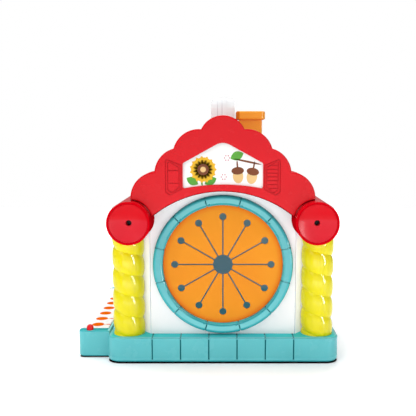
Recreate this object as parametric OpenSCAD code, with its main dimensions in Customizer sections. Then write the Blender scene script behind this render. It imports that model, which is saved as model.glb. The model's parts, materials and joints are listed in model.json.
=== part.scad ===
// Toddler activity house with a slit disc, sorting holes and a keyboard along one side.
// X runs to the right, the front looks along -Y and Z is up.
// The origin lies under the middle of the house, on the surface that it stands on.

/* [Base] */
// Width of the base across the front
base_w = 295; // [275:1:320]
// Depth of the base from front to back
base_d = 284; // [264:1:314]
// Height of the base
base_h = 32.8; // [32:0.1:38]
// Radius of the upright corners of the base
base_corner_r = 17; // [10:0.5:20]
// Radius along the top edge of the base
base_top_r = 2; // [1.5:0.5:4]
// Radius along the bottom edge of the base
base_bottom_r = 3; // [1:0.5:4]
// Wall of the base, at the sides and on top
base_wall = 3.2; // [2.6:0.1:4]
// Height of the seam between the base and its bottom cover
seam_z = 7.5; // [6.5:0.1:8.5]
// Floor of the bottom cover
cover_floor = 3; // [2.6:0.1:3.6]
// Height of the flat foot that the base stands on
plinth_h = 1.4; // [0.8:0.1:1.6]
// How far that foot stays back under the edge of the base
plinth_inset = 3.5; // [3:0.5:8]
// Length of one brick along the base
brick_pitch = 35.8; // [30:0.1:40]
// Joints between bricks on each side of the base
brick_joints = 6; // [2:2:6]
// Width of the joints between bricks
joint_w = 1.6; // [1:0.1:2.4]
// Depth of the joints between bricks
joint_depth = 1.2; // [0.6:0.1:1.6]

/* [Columns] */
// Largest radius of a twisted column
column_r = 20.5; // [17:0.5:21.5]
// Height of one turn of the twist
column_lead = 27; // [22:0.5:36]
// Depth of the groove between turns
column_groove = 2.6; // [1.5:0.1:4]
// Turn of the groove at the foot of a column
column_phase = 270; // [0:5:355]
// Middle of a column in from the side of the base
column_inset_x = 26; // [23:0.5:30]
// Middle of a column in from the front of the base
column_inset_y = 25; // [23:0.5:28]
// How far a column reaches up beside its roll
column_saddle = 8; // [4:0.5:12]
// Wall of a column above its foot
column_wall = 2.8; // [2:0.1:4]
// Height of the solid foot of a column
column_foot = 18; // [14:0.5:30]

/* [Walls] */
// Thickness of the wall panels
wall_t = 3; // [2:0.1:4]
// Front wall behind the front of the base
wall_inset = 19.5; // [16:0.5:21]
// Width of the slanted corner between a column and an end wall
corner_gap = 8; // [6:0.5:10]
// How far the slanted corners reach behind the middle of a column
post_back = 4; // [3:0.5:6]
// Width across a sorting hole
sort_size = 36; // [28:0.5:37]
// Spacing of the sorting holes
sort_pitch = 47; // [46:0.5:47.5]
// Height of the middle of the sorting holes above the base
sort_h = 62; // [40:0.5:80]
// Width of the raised rim round a sorting hole
sort_rim = 4; // [2:0.5:6]
// Height of the raised rim round a sorting hole
sort_rim_h = 2; // [1:0.5:4]

/* [Round opening] */
// Outer radius of the brick ring
ring_r = 89; // [83:0.25:90]
// Inner radius of the brick ring
ring_inner_r = 76.2; // [72:0.1:78]
// Gap between the base and the ring
ring_gap = 2.3; // [1:0.1:8]
// How far the ring stands out from the wall
ring_proud = 9; // [7:0.5:10]
// Rounding of the ring's front edges
ring_edge_r = 4; // [2:0.5:5]
// Bricks round the ring
ring_bricks = 12; // [8:1:16]
// Thickness of the slit membrane
membrane_t = 2.5; // [1.5:0.1:3]
// Rim of the membrane that is held under the ring
membrane_grip = 4.5; // [3:0.5:5]
// Slits in the membrane
slits = 12; // [6:1:16]
// Width of a slit
slit_w = 1.7; // [1:0.1:2.5]
// Radius of the hole in the middle of the membrane
hub_r = 12.5; // [9:0.1:15]
// Radius of the round end of a slit
slit_end_r = 4.5; // [2:0.1:5]
// Distance of the slit ends from the middle
slit_reach = 61.4; // [50:0.1:64]

/* [Roof] */
// Height of the gable above the arch under it
gable_h = 91.8; // [88:0.2:98]
// Radii of the gable's lobes, from the top down
lobe_r = [29, 32, 32, 32]; // [28:0.5:34]
// Places of the lobes along the line from the top lobe to the roll
lobe_at = [0, 0.228, 0.436, 0.71]; // [0:0.01:0.8]
// How far the lobes stand out from that line
lobe_out = [0, 4.5, 2.5, 0]; // [0:0.5:6]
// Middle of an eave roll in from the middle of a column
roll_inset = 8.3; // [5:0.1:10]
// Middle of an eave roll below the top of the arch
roll_drop = 36.7; // [33:0.1:42]
// Radius of an eave roll
roll_r = 26.2; // [24:0.1:28]
// Wall of an eave roll
roll_wall = 2.8; // [2:0.1:4]
// How far the rolls reach past the front of the base
roll_overhang = 30; // [24:0.5:36]
// Depth of the dish in the end of a roll
dish_depth = 6.5; // [4:0.5:9]
// Step from the rim of a roll down to the edge of the dish
rim_step = 1; // [0.5:0.1:2]
// How far the gable stands out past the front of the base
gable_overhang = 12.5; // [8:0.5:18]
// Skin of the gable
gable_t = 3; // [2:0.1:4]
// Gap between the ring and the arch under the gable
arch_gap = 6.5; // [4:0.1:9]
// Radius of the arch under the gable
arch_r = 136; // [125:1:142]
// Step down from the edge of the gable to the roof
roof_drop = 5; // [4:0.5:7]
// Skin of the roof
roof_t = 3; // [2:0.1:4]

/* [Gable window] */
// Half width of the window
window_half_w = 48.6; // [44:0.2:52]
// Height of the window's sill above the arch
sill_h = 8.7; // [6:0.1:11]
// Drop from the middle of the sill to the window's lower corners
sill_rise = 5; // [2:0.1:6]
// Height of the window's upright sides
window_side_h = 30.8; // [26:0.2:33]
// Height of the window's sloping top, to where its edges would meet
window_top_h = 26.8; // [24:0.2:30]
// Rounding at the top of the window
window_apex_r = 17; // [8:0.5:20]
// Thickness of the window panel
window_t = 2; // [1.5:0.1:3]
// Width of a shutter
shutter_w = 20; // [16:0.5:22]
// Width of the lines that draw the shutters
shutter_line = 1.1; // [0.6:0.1:1.4]
// Depth of the lines that draw the shutters
shutter_cut = 1.2; // [0.4:0.1:1.4]

/* [Chimney] */
// Width of the chimney's stack
stack_w = 28.5; // [24:0.5:30]
// Middle of the chimney from the middle of the house
chimney_x = 36.8; // [34:0.2:40]
// Middle of the chimney behind the front of the base
chimney_y = 90; // [60:1:100]
// Underside of the chimney's cap below the top of the gable
cap_drop = 2.9; // [0:0.1:8]
// Width of the chimney's cap
cap_w = 38.6; // [35:0.2:42]
// Height of the chimney's cap
cap_h = 11; // [8:0.5:14]
// Rounding of the cap's upright corners
cap_corner_r = 6; // [3:0.5:8]

/* [Carry handle] */
// Length of the handle along the ridge
handle_l = 112; // [100:1:120]
// Width of the handle
handle_w = 32; // [26:0.5:34]
// Height of the handle above the top of the gable
handle_h = 26.7; // [23:0.1:34]
// Thickness of the grip
grip_t = 10; // [8:0.5:12]
// Length of a foot of the handle
handle_foot = 18; // [15:0.5:22]
// Width of the rib along the handle
rib_w = 10; // [6:0.5:14]
// Height of the rib along the handle
rib_h = 1.2; // [0.6:0.1:2]

/* [Keyboard] */
// How far the keyboard stands out from the base
tray_w = 40.5; // [39:0.5:50]
// Height of the keyboard's ends above the base
tray_rise = 2.8; // [0:0.1:4]
// Keys
key_count = 8; // [5:1:8]
// Spacing of the keys
key_pitch = 27; // [23:0.5:28]
// Gap between keys
key_gap = 0.7; // [0.5:0.1:1.2]
// Height of the tops of the keys above the keyboard's ends
key_proud = 0.8; // [0.5:0.1:3]
// Height of the face of a key
key_h = 11; // [10:0.5:12]
// Skin of a key
key_wall = 2; // [1.5:0.1:2.6]
// Angle through which a key tips
key_tip = 4.5; // [3:0.5:5]
// Radius of the rod that the keys turn on
rod_r = 2; // [1.5:0.1:2.2]
// Middle of that rod above the lower edge of a key
rod_h = 4; // [3.5:0.1:5]
// Running clearance round the rod
rod_play = 0.05; // [0.02:0.01:0.1]
// Thickness of the cheek at each end of the keys
cheek_w = 11.5; // [11:0.5:14]
// Rounding of the keyboard's outer corners
tray_corner_r = 8; // [4:0.5:9]
// Wall of the keyboard tray
tray_wall = 2; // [1.6:0.1:3]
// Floor of the keyboard tray
tray_floor = 3; // [2.6:0.1:4]

/* [Button] */
// Radius of the button's dome
button_r = 4.4; // [4:0.1:4.7]
// Travel of the button
button_travel = 1.4; // [1:0.1:2]
// Radius of the button's stem
stem_r = 2; // [1.6:0.1:2.2]
// Middle of the button in from the outer edge of the keyboard
button_inset = 14.5; // [12:0.5:20]

/* [Electrics] */
// Thickness of the circuit board
board_t = 1.6; // [1:0.1:2]
// Height of the underside of the circuit board
board_z = 11; // [9:0.5:12]
// Radius of a battery cell
cell_r = 7.25; // [5.25:0.25:7.25]
// Length of a battery cell
cell_l = 50.5; // [44.5:0.5:50.5]
// Battery cells
cell_count = 3; // [2:1:4]
// Radius of the speaker
speaker_r = 26; // [18:0.5:30]
// Height of the speaker
speaker_h = 17; // [12:0.5:20]

/* [Fasteners] */
// Shank radius of the screws
screw_r = 1.5; // [1.2:0.1:1.8]
// Head radius of the screws
head_r = 3; // [2.5:0.1:3.4]
// Head height of the screws
head_h = 2; // [1.5:0.1:2.4]
// How far the longer screws go into their pilot holes
screw_bite = 12; // [8:0.5:14]
// How far the shorter screws go into their pilot holes
short_bite = 5; // [3:0.5:6]

/* [Fits] */
// Gap between pieces that stand side by side
fit = 0.3; // [0.2:0.05:0.5]
// Gap round a screw in its pilot hole
pilot_play = 0.05; // [0.02:0.01:0.1]

/* [Hidden] */
$fn = 64;
eps = 0.01;
sides = [-1, 1];
side_names = ["left", "right"];
end_names = ["front", "rear"];
corners = [for (end = [0, 1], side = [0, 1]) [side, end]];

// Heights, chained from the base up
ring_z = base_h + ring_gap + ring_r;
arch_z = ring_z + ring_r + arch_gap;
roll_z = arch_z - roll_drop;
peak_z = arch_z + gable_h;
cap_z = peak_z - cap_drop;
handle_top_z = peak_z + handle_h;
sill_z = arch_z + sill_h;
window_corner_z = sill_z - sill_rise;
window_shoulder_z = window_corner_z + window_side_h;
window_apex_z = window_shoulder_z + window_top_h;
tray_top_z = base_h + tray_rise;
key_top_z = tray_top_z + key_proud;
key_lip_z = key_top_z - key_h;
rod_z = key_lip_z + rod_h;

// Places of the walls and columns, measured out from the middle of the house
column_x = base_w / 2 - column_inset_x;
column_y = base_d / 2 - column_inset_y;
roll_x = column_x - roll_inset;
wall_y = base_d / 2 - wall_inset;
wall_x = column_x + wall_y - column_y;
wall_tuck = sqrt(pow(column_r, 2) - pow(max(0, wall_y - wall_t - column_y), 2)) + fit;
corner_x = column_x - column_r - corner_gap;
corner_y = column_y - post_back;
wall_half_x = corner_x - fit;
wall_half_y = column_y - wall_tuck;
wall_top_z = arch_z + 4 * gable_t;
side_wall_top_z = roll_z - sqrt(pow(roll_r, 2) - pow(wall_x - wall_t - roll_x, 2)) - fit;
deck_z = base_h - base_wall;
column_top_z = roll_z - roll_r + column_saddle;
column_points = 24;

// Places along the roof
roll_half_l = base_d / 2 + roll_overhang;
gable_y = base_d / 2 + gable_overhang;
roof_half_l = gable_y - gable_t;
roll_c = [roll_x, roll_z];
top_lobe_c = [0, peak_z - lobe_r[0]];
roof_run = roll_c - top_lobe_c;
roof_along = unit(roof_run);
roof_normal = [-roof_along.y, roof_along.x];
lobe_c = [for (i = [0:3]) top_lobe_c + lobe_at[i] * roof_run + lobe_out[i] * roof_normal];
arch_c = [0, arch_z - arch_r];

// Membrane and its seat
membrane_r = ring_inner_r + membrane_grip;
wall_hole_r = ring_inner_r - membrane_grip / 2;
ring_screw_edge = 1;
ring_screw_r = max(ring_r - head_r - ring_screw_edge, (ring_r + membrane_r + fit) / 2);
ring_screws_n = 6;

// Dished ends of the rolls
cap_plate = 2.5;
cap_boss_l = 10;
cap_hole_r = 3.5;
cap_r = roll_r - roll_wall - fit / 3;
dish_rise = dish_depth - rim_step;
dish_r = (pow(cap_r, 2) + pow(dish_rise, 2)) / (2 * dish_rise);
web_y = roll_half_l - dish_depth - cap_plate - cap_boss_l;
web_t = 3;

// Window outline
window_points = [
    [-window_half_w, window_corner_z], [window_half_w, window_corner_z],
    [window_half_w, window_shoulder_z], [0, window_apex_z], [-window_half_w, window_shoulder_z]
];
window_radii = [3, 3, 3, window_apex_r, 3];
window_lap = 3.5;
stud_r = 2.5;
sill_r = (pow(window_half_w, 2) + pow(sill_rise, 2)) / (2 * sill_rise);

// Keyboard, from the house outwards
tray_x = -base_w / 2;
tray_edge_x = tray_x - tray_w;
tray_inner_x = tray_edge_x + tray_wall;
keys_l = key_count * key_pitch;
tray_l = keys_l + 2 * cheek_w;
key_end_x = tray_x - tray_wall - 0.8;
key_edge_x = tray_edge_x + 1;
rod_x = key_end_x - 4.6;
rod_seat = 4;
press_x = (key_edge_x + rod_x) / 2;
press_z = key_lip_z - 4.5;
lip_drop = (rod_x - key_edge_x) * sin(key_tip);
tray_lip_z = key_lip_z - lip_drop - 3 * fit;
dome_z = press_z - (rod_x - press_x) * sin(key_tip) - 1.3 * fit;
board_top_z = board_z + board_t;
board_w = 2 * (press_x - tray_inner_x - 1);
board_post_r = 3;
board_post_x = board_w / 2 - board_post_r + 0.5;
strip_t = 1.2;

// Button on the near cheek
button_x = tray_edge_x + button_inset;
button_y = -(tray_l - cheek_w) / 2;
button_seat_z = tray_top_z - fit;
button_well_z = button_seat_z - button_travel - fit;
button_skirt = 2.7;
button_ceiling_z = tray_top_z - 7.5;
stem_z = button_ceiling_z - 5;
bay_w = 18;
bay_wall = cheek_w / 2 - stem_r - 1.1;

// Inside the base
post_r = 5;
post_inset = 44;
post_x = base_w / 2 - post_inset;
post_y = base_d / 2 - post_inset;
cover_boss_z = cover_floor + 3;
speaker_at = [62, 40];
grille_hole_r = 1.7;
bay_at = [-48, -38];
cell_pitch = 2 * cell_r + 1;
bay_l = cell_l + 3;
bay_d = cell_count * cell_pitch + 1;
bay_rim = 1.6;
bay_h = cover_floor + 2 * cell_r;
tongue_l = 11;
tongue_w = 14;
tongue_t = 4;
tongue_x = bay_l / 2 + tongue_l / 2 + bay_rim / 2;
tray_screw_y = tray_l / 4;
tray_screw_z = (base_h + seam_z) / 2 - 1;
tray_boss_w = 8;
tray_boss_l = short_bite + 3;

function unit(v) = v / norm(v);

// Points on the arc that rounds corner b, between its neighbours a and c
function corner_arc(a, b, c, r, steps) =
    let (
        u = unit(a - b),
        v = unit(c - b),
        half = acos(u * v) / 2,
        middle = b + unit(u + v) * r / sin(half),
        from = b + u * r / tan(half) - middle,
        to = b + v * r / tan(half) - middle,
        start = atan2(from.y, from.x),
        turn = (atan2(to.y, to.x) - start + 540) % 360 - 180
    )
    [for (k = [0:steps]) middle + r * [cos(start + turn * k / steps), sin(start + turn * k / steps)]];

// An outline with each corner rounded by its own radius
function rounded(points, radii, steps = 8) =
    let (n = len(points))
    [for (i = [0:n - 1])
        each corner_arc(points[(i + n - 1) % n], points[i], points[(i + 1) % n], radii[i], steps)];

// Sweeps a front outline (x, z) from y0 to y1
module along_y(y0, y1) {
    translate([0, y1, 0]) rotate([90, 0, 0]) linear_extrude(y1 - y0) children();
}

// Sweeps a side outline (y, z) from x0 to x1
module along_x(x0, x1) {
    translate([x0, 0, 0]) rotate([90, 0, 90]) linear_extrude(x1 - x0) children();
}

// Stands a turned shape on the front wall, its local z pointing out of the house
module facing_front(y, z) {
    translate([0, -y, z]) rotate([90, 0, 0]) children();
}

// Rectangle with round corners, about its middle
module plan_2d(w, d, r) {
    square([w - 2 * r, d], center = true);
    square([w, d - 2 * r], center = true);
    for (sx = sides, sy = sides) translate([sx * (w / 2 - r), sy * (d / 2 - r)]) circle(r);
}

// Half of an upright section, with rounded top and bottom edges
module edge_half_2d(r, h, top_r, bottom_r) {
    translate([0, bottom_r]) square([r, h - top_r - bottom_r]);
    square([r - bottom_r, h / 2]);
    translate([0, h / 2]) square([r - top_r, h / 2]);
    translate([r - bottom_r, bottom_r]) circle(bottom_r);
    translate([r - top_r, h - top_r]) circle(top_r);
}

module edge_2d(w, h, top_r, bottom_r) {
    edge_half_2d(w / 2, h, top_r, bottom_r);
    mirror([1, 0]) edge_half_2d(w / 2, h, top_r, bottom_r);
}

// Block with round corners in plan and rounded top and bottom edges
module rounded_block(w, d, h, corner_r, top_r, bottom_r) {
    along_y(corner_r - d / 2, d / 2 - corner_r) edge_2d(w, h, top_r, bottom_r);
    along_x(corner_r - w / 2, w / 2 - corner_r) edge_2d(d, h, top_r, bottom_r);
    for (sx = sides, sy = sides)
        translate([sx * (w / 2 - corner_r), sy * (d / 2 - corner_r), 0])
            rotate_extrude() edge_half_2d(corner_r, h, top_r, bottom_r);
}

// Section of a front outline with two rounded top edges
module crown_2d(w, h, r) {
    translate([-w / 2, 0]) square([w, h - r]);
    translate([r - w / 2, 0]) square([w - 2 * r, h]);
    for (s = sides) translate([s * (w / 2 - r), h - r]) circle(r);
}

// Screw along +z, with the underside of its head at the origin
module screw(l) {
    translate([0, 0, -head_h]) cylinder(r = head_r, h = head_h);
    translate([0, 0, -eps]) cylinder(r = screw_r, h = l + eps);
}

module pilot(l) {
    translate([0, 0, -eps]) cylinder(r = screw_r + pilot_play, h = l + eps);
}

module at_corners(x, y) {
    for (sx = sides, sy = sides) translate([sx * x, sy * y, 0]) children();
}

// Cuts the joints between bricks into the front, back and right side
module brick_joint_slabs() {
    joint_z = base_bottom_r;
    for (i = [0:brick_joints - 1]) {
        p = (i - (brick_joints - 1) / 2) * brick_pitch;
        for (s = sides)
            translate([p - joint_w / 2, s > 0 ? wall_y : -base_d, joint_z])
                cube([joint_w, base_d - wall_y, base_h]);
        translate([wall_x, p - joint_w / 2, joint_z]) cube([base_w - wall_x, joint_w, base_h]);
    }
}

module base_outside() {
    body_h = base_h - plinth_h;
    translate([0, 0, plinth_h]) {
        difference() {
            rounded_block(base_w, base_d, body_h, base_corner_r, base_top_r, base_bottom_r);
            brick_joint_slabs();
        }
        rounded_block(base_w - 2 * joint_depth, base_d - 2 * joint_depth, body_h - joint_depth,
            base_corner_r - joint_depth, base_top_r / 2, base_bottom_r);
    }
}

module base_inside_2d() {
    plan_2d(base_w - 2 * base_wall, base_d - 2 * base_wall, base_corner_r - base_wall);
}

module base_shell() {
    color([0.40, 0.74, 0.77]) difference() {
        union() {
            difference() {
                base_outside();
                translate([-base_w, -base_d, -1]) cube([2 * base_w, 2 * base_d, seam_z + 1]);
                linear_extrude(deck_z) base_inside_2d();
            }
            at_corners(post_x, post_y)
                translate([0, 0, cover_boss_z]) cylinder(r = post_r, h = deck_z - cover_boss_z + eps);
        }
        at_corners(post_x, post_y) translate([0, 0, cover_boss_z]) pilot(screw_bite + 1);
        at_corners(column_x, column_y)
            translate([0, 0, deck_z - 1]) cylinder(r = screw_r + fit, h = base_wall + 2);
        for (s = sides)
            translate([tray_x - 1, s * tray_screw_y, tray_screw_z])
                rotate([0, 90, 0]) cylinder(r = screw_r + fit, h = base_wall + 2);
    }
}

module battery_bay_walls() {
    translate([bay_at.x, bay_at.y, 0]) linear_extrude(bay_h) difference() {
        square([bay_l + 2 * bay_rim, bay_d + 2 * bay_rim], center = true);
        square([bay_l, bay_d], center = true);
    }
    translate([bay_at.x + bay_l / 2, bay_at.y - tongue_w / 2 - bay_rim, 0])
        cube([tongue_l + bay_rim, tongue_w + 2 * bay_rim, tongue_t + cover_floor]);
    translate([bay_at.x + tongue_x, bay_at.y, 0]) cylinder(r = post_r - 1, h = tongue_t + short_bite + 4);
}

module grille_holes() {
    translate([speaker_at.x, speaker_at.y, -1]) {
        cylinder(r = grille_hole_r, h = cover_floor + 2);
        for (ring = [1, 2], k = [0:6 * ring - 1])
            rotate(60 / ring * k) translate([ring * speaker_r / 3.4, 0, 0])
                cylinder(r = grille_hole_r, h = cover_floor + 2);
    }
}

module base_cover() {
    color([0.37, 0.70, 0.73]) difference() {
        union() {
            difference() {
                base_outside();
                translate([-base_w, -base_d, seam_z]) cube([2 * base_w, 2 * base_d, base_h]);
                translate([0, 0, cover_floor]) linear_extrude(base_h) base_inside_2d();
            }
            linear_extrude(cover_floor)
                plan_2d(base_w - 2 * plinth_inset, base_d - 2 * plinth_inset, base_corner_r - plinth_inset);
            at_corners(post_x, post_y) cylinder(r = post_r + 1, h = cover_boss_z);
            battery_bay_walls();
            translate([speaker_at.x, speaker_at.y, 0]) linear_extrude(cover_floor + 4) difference() {
                circle(speaker_r + fit + bay_rim);
                circle(speaker_r + fit);
            }
        }
        at_corners(post_x, post_y) {
            translate([0, 0, -1]) cylinder(r = screw_r + fit, h = cover_boss_z + 2);
            translate([0, 0, -1]) cylinder(r = head_r + fit, h = head_h + fit + 1);
        }
        grille_holes();
        translate([bay_at.x, bay_at.y, 0]) {
            cube([bay_l, bay_d, 4 * cover_floor], center = true);
            translate([bay_l / 2 - eps, -tongue_w / 2, -1])
                cube([tongue_l, tongue_w, tongue_t + fit / 3 + 1]);
        }
        translate([bay_at.x + tongue_x, bay_at.y, tongue_t]) pilot(short_bite + 2);
    }
}

module battery_hatch() {
    color([0.37, 0.70, 0.73]) translate([bay_at.x, bay_at.y, 0]) difference() {
        union() {
            translate([-bay_l / 2 + fit, -bay_d / 2 + fit, 0])
                cube([bay_l - 2 * fit, bay_d - 2 * fit, cover_floor]);
            translate([bay_l / 2 - 1, -tongue_w / 2 + fit, 0])
                cube([tongue_l + 1 - fit, tongue_w - 2 * fit, tongue_t]);
        }
        translate([tongue_x, 0, -1]) {
            cylinder(r = screw_r + fit, h = tongue_t + 2);
            cylinder(r = head_r + fit, h = head_h + fit + 1);
        }
    }
}

module hatch_screw() {
    color("silver") translate([bay_at.x + tongue_x, bay_at.y, head_h + fit])
        screw(tongue_t - head_h - fit + short_bite + 1);
}

module battery_cells() {
    color("goldenrod") for (i = [0:cell_count - 1])
        translate([bay_at.x - cell_l / 2, bay_at.y + (i - (cell_count - 1) / 2) * cell_pitch,
                cover_floor + cell_r + fit]) rotate([0, 90, 0]) {
            cylinder(r = cell_r, h = cell_l - 1.5);
            cylinder(r = cell_r / 3, h = cell_l);
        }
}

module speaker() {
    color("dimgray") translate([speaker_at.x, speaker_at.y, cover_floor]) {
        cylinder(r = speaker_r, h = 2);
        cylinder(r1 = speaker_r - 1, r2 = speaker_r * 0.6, h = speaker_h * 0.6);
        cylinder(r = speaker_r * 0.55, h = speaker_h);
    }
}

module base_screws() {
    color("silver") at_corners(post_x, post_y) translate([0, 0, head_h + fit])
        screw(cover_boss_z - head_h - fit + screw_bite);
}

// Section through a column: one groove, and a full round lobe opposite it
function column_section() =
    [for (k = [0:column_points - 1])
        let (a = 360 * k / column_points, depth = pow(abs(a - 180) / 180, 3))
        (column_r - column_groove * depth) * [cos(a), sin(a)]];

module column(side, end) {
    column_h = column_top_z - base_h;
    slices_per_turn = 12;
    at_x = sides[side] * column_x;
    at_y = sides[end] * column_y;
    color([0.94, 0.90, 0.18]) difference() {
        translate([at_x, at_y, base_h]) rotate(column_phase)
            linear_extrude(column_h, twist = 360 * column_h / column_lead,
                slices = round(slices_per_turn * column_h / column_lead), segments = column_points)
                polygon(column_section());
        translate([sides[side] * roll_x, 0, roll_z]) rotate([90, 0, 0])
            cylinder(r = roll_r + fit, h = 2 * roll_half_l, center = true);
        translate([at_x, at_y, base_h]) pilot(screw_bite + 1);
        translate([at_x, at_y, base_h + column_foot])
            cylinder(r = column_r - column_groove - column_wall, h = column_h);
    }
}

module column_screws() {
    color("silver") at_corners(column_x, column_y) translate([0, 0, deck_z]) screw(base_wall + screw_bite);
}

// Lobed outline of the roof, drawn in by inset, down to the line between the rolls
module lobes_2d(inset) {
    for (s = sides, i = [0:3])
        translate([s * lobe_c[i].x, lobe_c[i].y]) circle(lobe_r[i] - inset);
    right = concat(lobe_c, [roll_c]);
    left = [for (i = [3:-1:1]) [-lobe_c[i].x, lobe_c[i].y]];
    polygon(concat(right, [[-roll_x, roll_z]], left));
}

module rolls_2d(r) {
    for (s = sides) translate([s * roll_x, roll_z]) circle(r);
}

// Outline of the front and rear walls, up inside the roof and round the rolls
module end_wall_2d() {
    difference() {
        polygon([
            [-wall_half_x, base_h], [wall_half_x, base_h], [wall_half_x, lobe_c[3].y],
            [lobe_c[3].x, wall_top_z], [-lobe_c[3].x, wall_top_z], [-wall_half_x, lobe_c[3].y]
        ]);
        rolls_2d(roll_r + fit);
    }
}

// White slanted plate that leads the end wall back behind a column
module corner_post(side, end) {
    behind_x = column_x - sqrt(pow(column_r, 2) - pow(post_back, 2)) - fit;
    section = [
        [corner_x, wall_y], [behind_x, corner_y], [behind_x, corner_y - wall_t], [corner_x, wall_y - wall_t]
    ];
    color([0.95, 0.95, 0.95]) difference() {
        translate([0, 0, base_h]) linear_extrude(roll_z - base_h)
            polygon([for (p = section) [sides[side] * p.x, sides[end] * p.y]]);
        translate([sides[side] * roll_x, 0, roll_z]) rotate([90, 0, 0])
            cylinder(r = roll_r + fit, h = 2 * roll_half_l, center = true);
    }
}

module at_ring_screws() {
    for (k = [0:ring_screws_n - 1])
        rotate(360 / ring_screws_n * k) translate([ring_screw_r, 0, 0]) children();
}

module front_wall() {
    color([0.95, 0.95, 0.95]) difference() {
        along_y(-wall_y, wall_t - wall_y) difference() {
            end_wall_2d();
            translate([0, ring_z]) circle(wall_hole_r);
        }
        facing_front(wall_y - wall_t - 1, ring_z)
            at_ring_screws() cylinder(r = screw_r + fit, h = wall_t + 2);
    }
}

// Outlines of the four kinds of block, each widened by grow all round
module block_2d(kind, grow) {
    if (kind == 0) circle(sort_size / 2 + grow);
    if (kind == 1) square(0.9 * sort_size + 2 * grow, center = true);
    if (kind == 2) rotate(90) circle(0.6 * sort_size + 2 * grow, $fn = 3);
    if (kind == 3) circle(0.54 * sort_size + grow / cos(30), $fn = 6);
}

// Outlines in a side wall, (y, z), one for each kind of block
module at_sorting_holes() {
    for (kind = [0:3]) translate([(kind - 1.5) * sort_pitch, base_h + sort_h]) {
        $kind = kind;
        children();
    }
}

module rear_wall() {
    color([0.95, 0.95, 0.95]) along_y(wall_y - wall_t, wall_y) end_wall_2d();
}

module side_wall_2d() {
    translate([-wall_half_y, base_h]) square([2 * wall_half_y, side_wall_top_z - base_h]);
}

module left_wall() {
    color([0.95, 0.95, 0.95]) along_x(-wall_x, wall_t - wall_x) side_wall_2d();
}

module right_wall() {
    color([0.95, 0.95, 0.95]) {
        along_x(wall_x - wall_t, wall_x) difference() {
            side_wall_2d();
            at_sorting_holes() block_2d($kind, 0);
        }
        along_x(wall_x - eps, wall_x + sort_rim_h) at_sorting_holes() difference() {
            block_2d($kind, sort_rim);
            block_2d($kind, 0);
        }
    }
}

// Section through the ring, with rounded front edges
module ring_section_2d(inset) {
    inner = ring_inner_r + inset;
    outer = ring_r - inset;
    front = ring_proud - inset;
    edge_r = ring_edge_r - inset / 2;
    translate([inner, 0]) square([outer - inner, front - edge_r]);
    translate([inner + edge_r, 0]) square([outer - inner - 2 * edge_r, front]);
    translate([inner + edge_r, front - edge_r]) circle(edge_r);
    translate([outer - edge_r, front - edge_r]) circle(edge_r);
}

module brick_ring() {
    joint_turn = 180 / ring_bricks;
    color([0.40, 0.74, 0.77]) facing_front(wall_y, ring_z) difference() {
        union() {
            difference() {
                rotate_extrude() ring_section_2d(0);
                for (k = [0:ring_bricks - 1])
                    rotate(joint_turn * (2 * k + 1)) translate([ring_inner_r - 1, -joint_w / 2, membrane_t])
                        cube([ring_r - ring_inner_r + 2, joint_w, ring_proud]);
            }
            rotate_extrude() ring_section_2d(joint_depth);
        }
        translate([0, 0, -eps]) cylinder(r = membrane_r + fit, h = membrane_t + eps);
        at_ring_screws() pilot(short_bite + 1);
    }
}

module ring_screws() {
    color("silver") facing_front(wall_y - wall_t, ring_z) at_ring_screws() screw(wall_t + short_bite);
}

module slit_membrane() {
    color([0.92, 0.58, 0.15]) facing_front(wall_y, ring_z) linear_extrude(membrane_t) difference() {
        circle(membrane_r);
        circle(hub_r);
        for (k = [0:slits - 1]) rotate(360 / slits * k) {
            translate([0, -slit_w / 2]) square([slit_reach, slit_w]);
            translate([slit_reach, 0]) circle(slit_end_r);
        }
    }
}

module roof_shell() {
    color([0.86, 0.15, 0.20]) difference() {
        along_y(-roof_half_l, roof_half_l) difference() {
            lobes_2d(roof_drop);
            lobes_2d(roof_drop + roof_t);
            rolls_2d(roll_r + fit);
        }
        at_handle_screws() {
            cylinder(r = screw_r + fit, h = 2 * roof_t);
            translate([0, 0, -roof_t]) cylinder(r = head_r + fit, h = roof_t);
        }
    }
}

// Window opening: straight sides, a rounded top and an arched sill
module window_2d() {
    difference() {
        polygon(rounded(window_points, window_radii));
        translate([0, sill_z - sill_r]) circle(sill_r);
    }
}

module arch_2d(grow) {
    translate(arch_c) circle(arch_r + grow);
}

// Outline of an opened shutter, drawn in by inset
module shutter_2d(inset) {
    hinge_x = window_half_w + shutter_line + inset;
    edge_x = hinge_x + shutter_w - 2 * inset;
    polygon(rounded([
        [hinge_x, window_corner_z - 1 + inset], [edge_x - shutter_w / 4, window_corner_z - 8.5 + inset],
        [edge_x, window_corner_z - 4 + inset], [edge_x, window_shoulder_z + 4 - inset],
        [edge_x - 2, window_shoulder_z + 5 - inset], [hinge_x, window_shoulder_z - 2 - inset]
    ], [0.4, 3, 2, 1, 1, 0.4], 4));
}

// Lines that draw a shutter: its edge, a frame inside that, and bars across the frame
module shutter_lines_2d(bars) {
    frame_inset = 2.6;
    low = window_corner_z - 9;
    step = (window_shoulder_z + 6 - low) / bars;
    difference() {
        shutter_2d(0);
        shutter_2d(shutter_line);
    }
    difference() {
        shutter_2d(frame_inset);
        shutter_2d(frame_inset + shutter_line);
    }
    intersection() {
        shutter_2d(frame_inset);
        for (k = [1:bars - 1])
            translate([window_half_w, low + k * step]) square([shutter_w, shutter_line]);
    }
}

// Studs behind the gable that keep the window panel from sliding sideways
module window_studs_2d() {
    stud_x = window_half_w + window_lap + fit + stud_r;
    stud_z = (window_corner_z + window_shoulder_z) / 2;
    for (s = sides) translate([s * stud_x, stud_z]) circle(stud_r);
}

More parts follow.
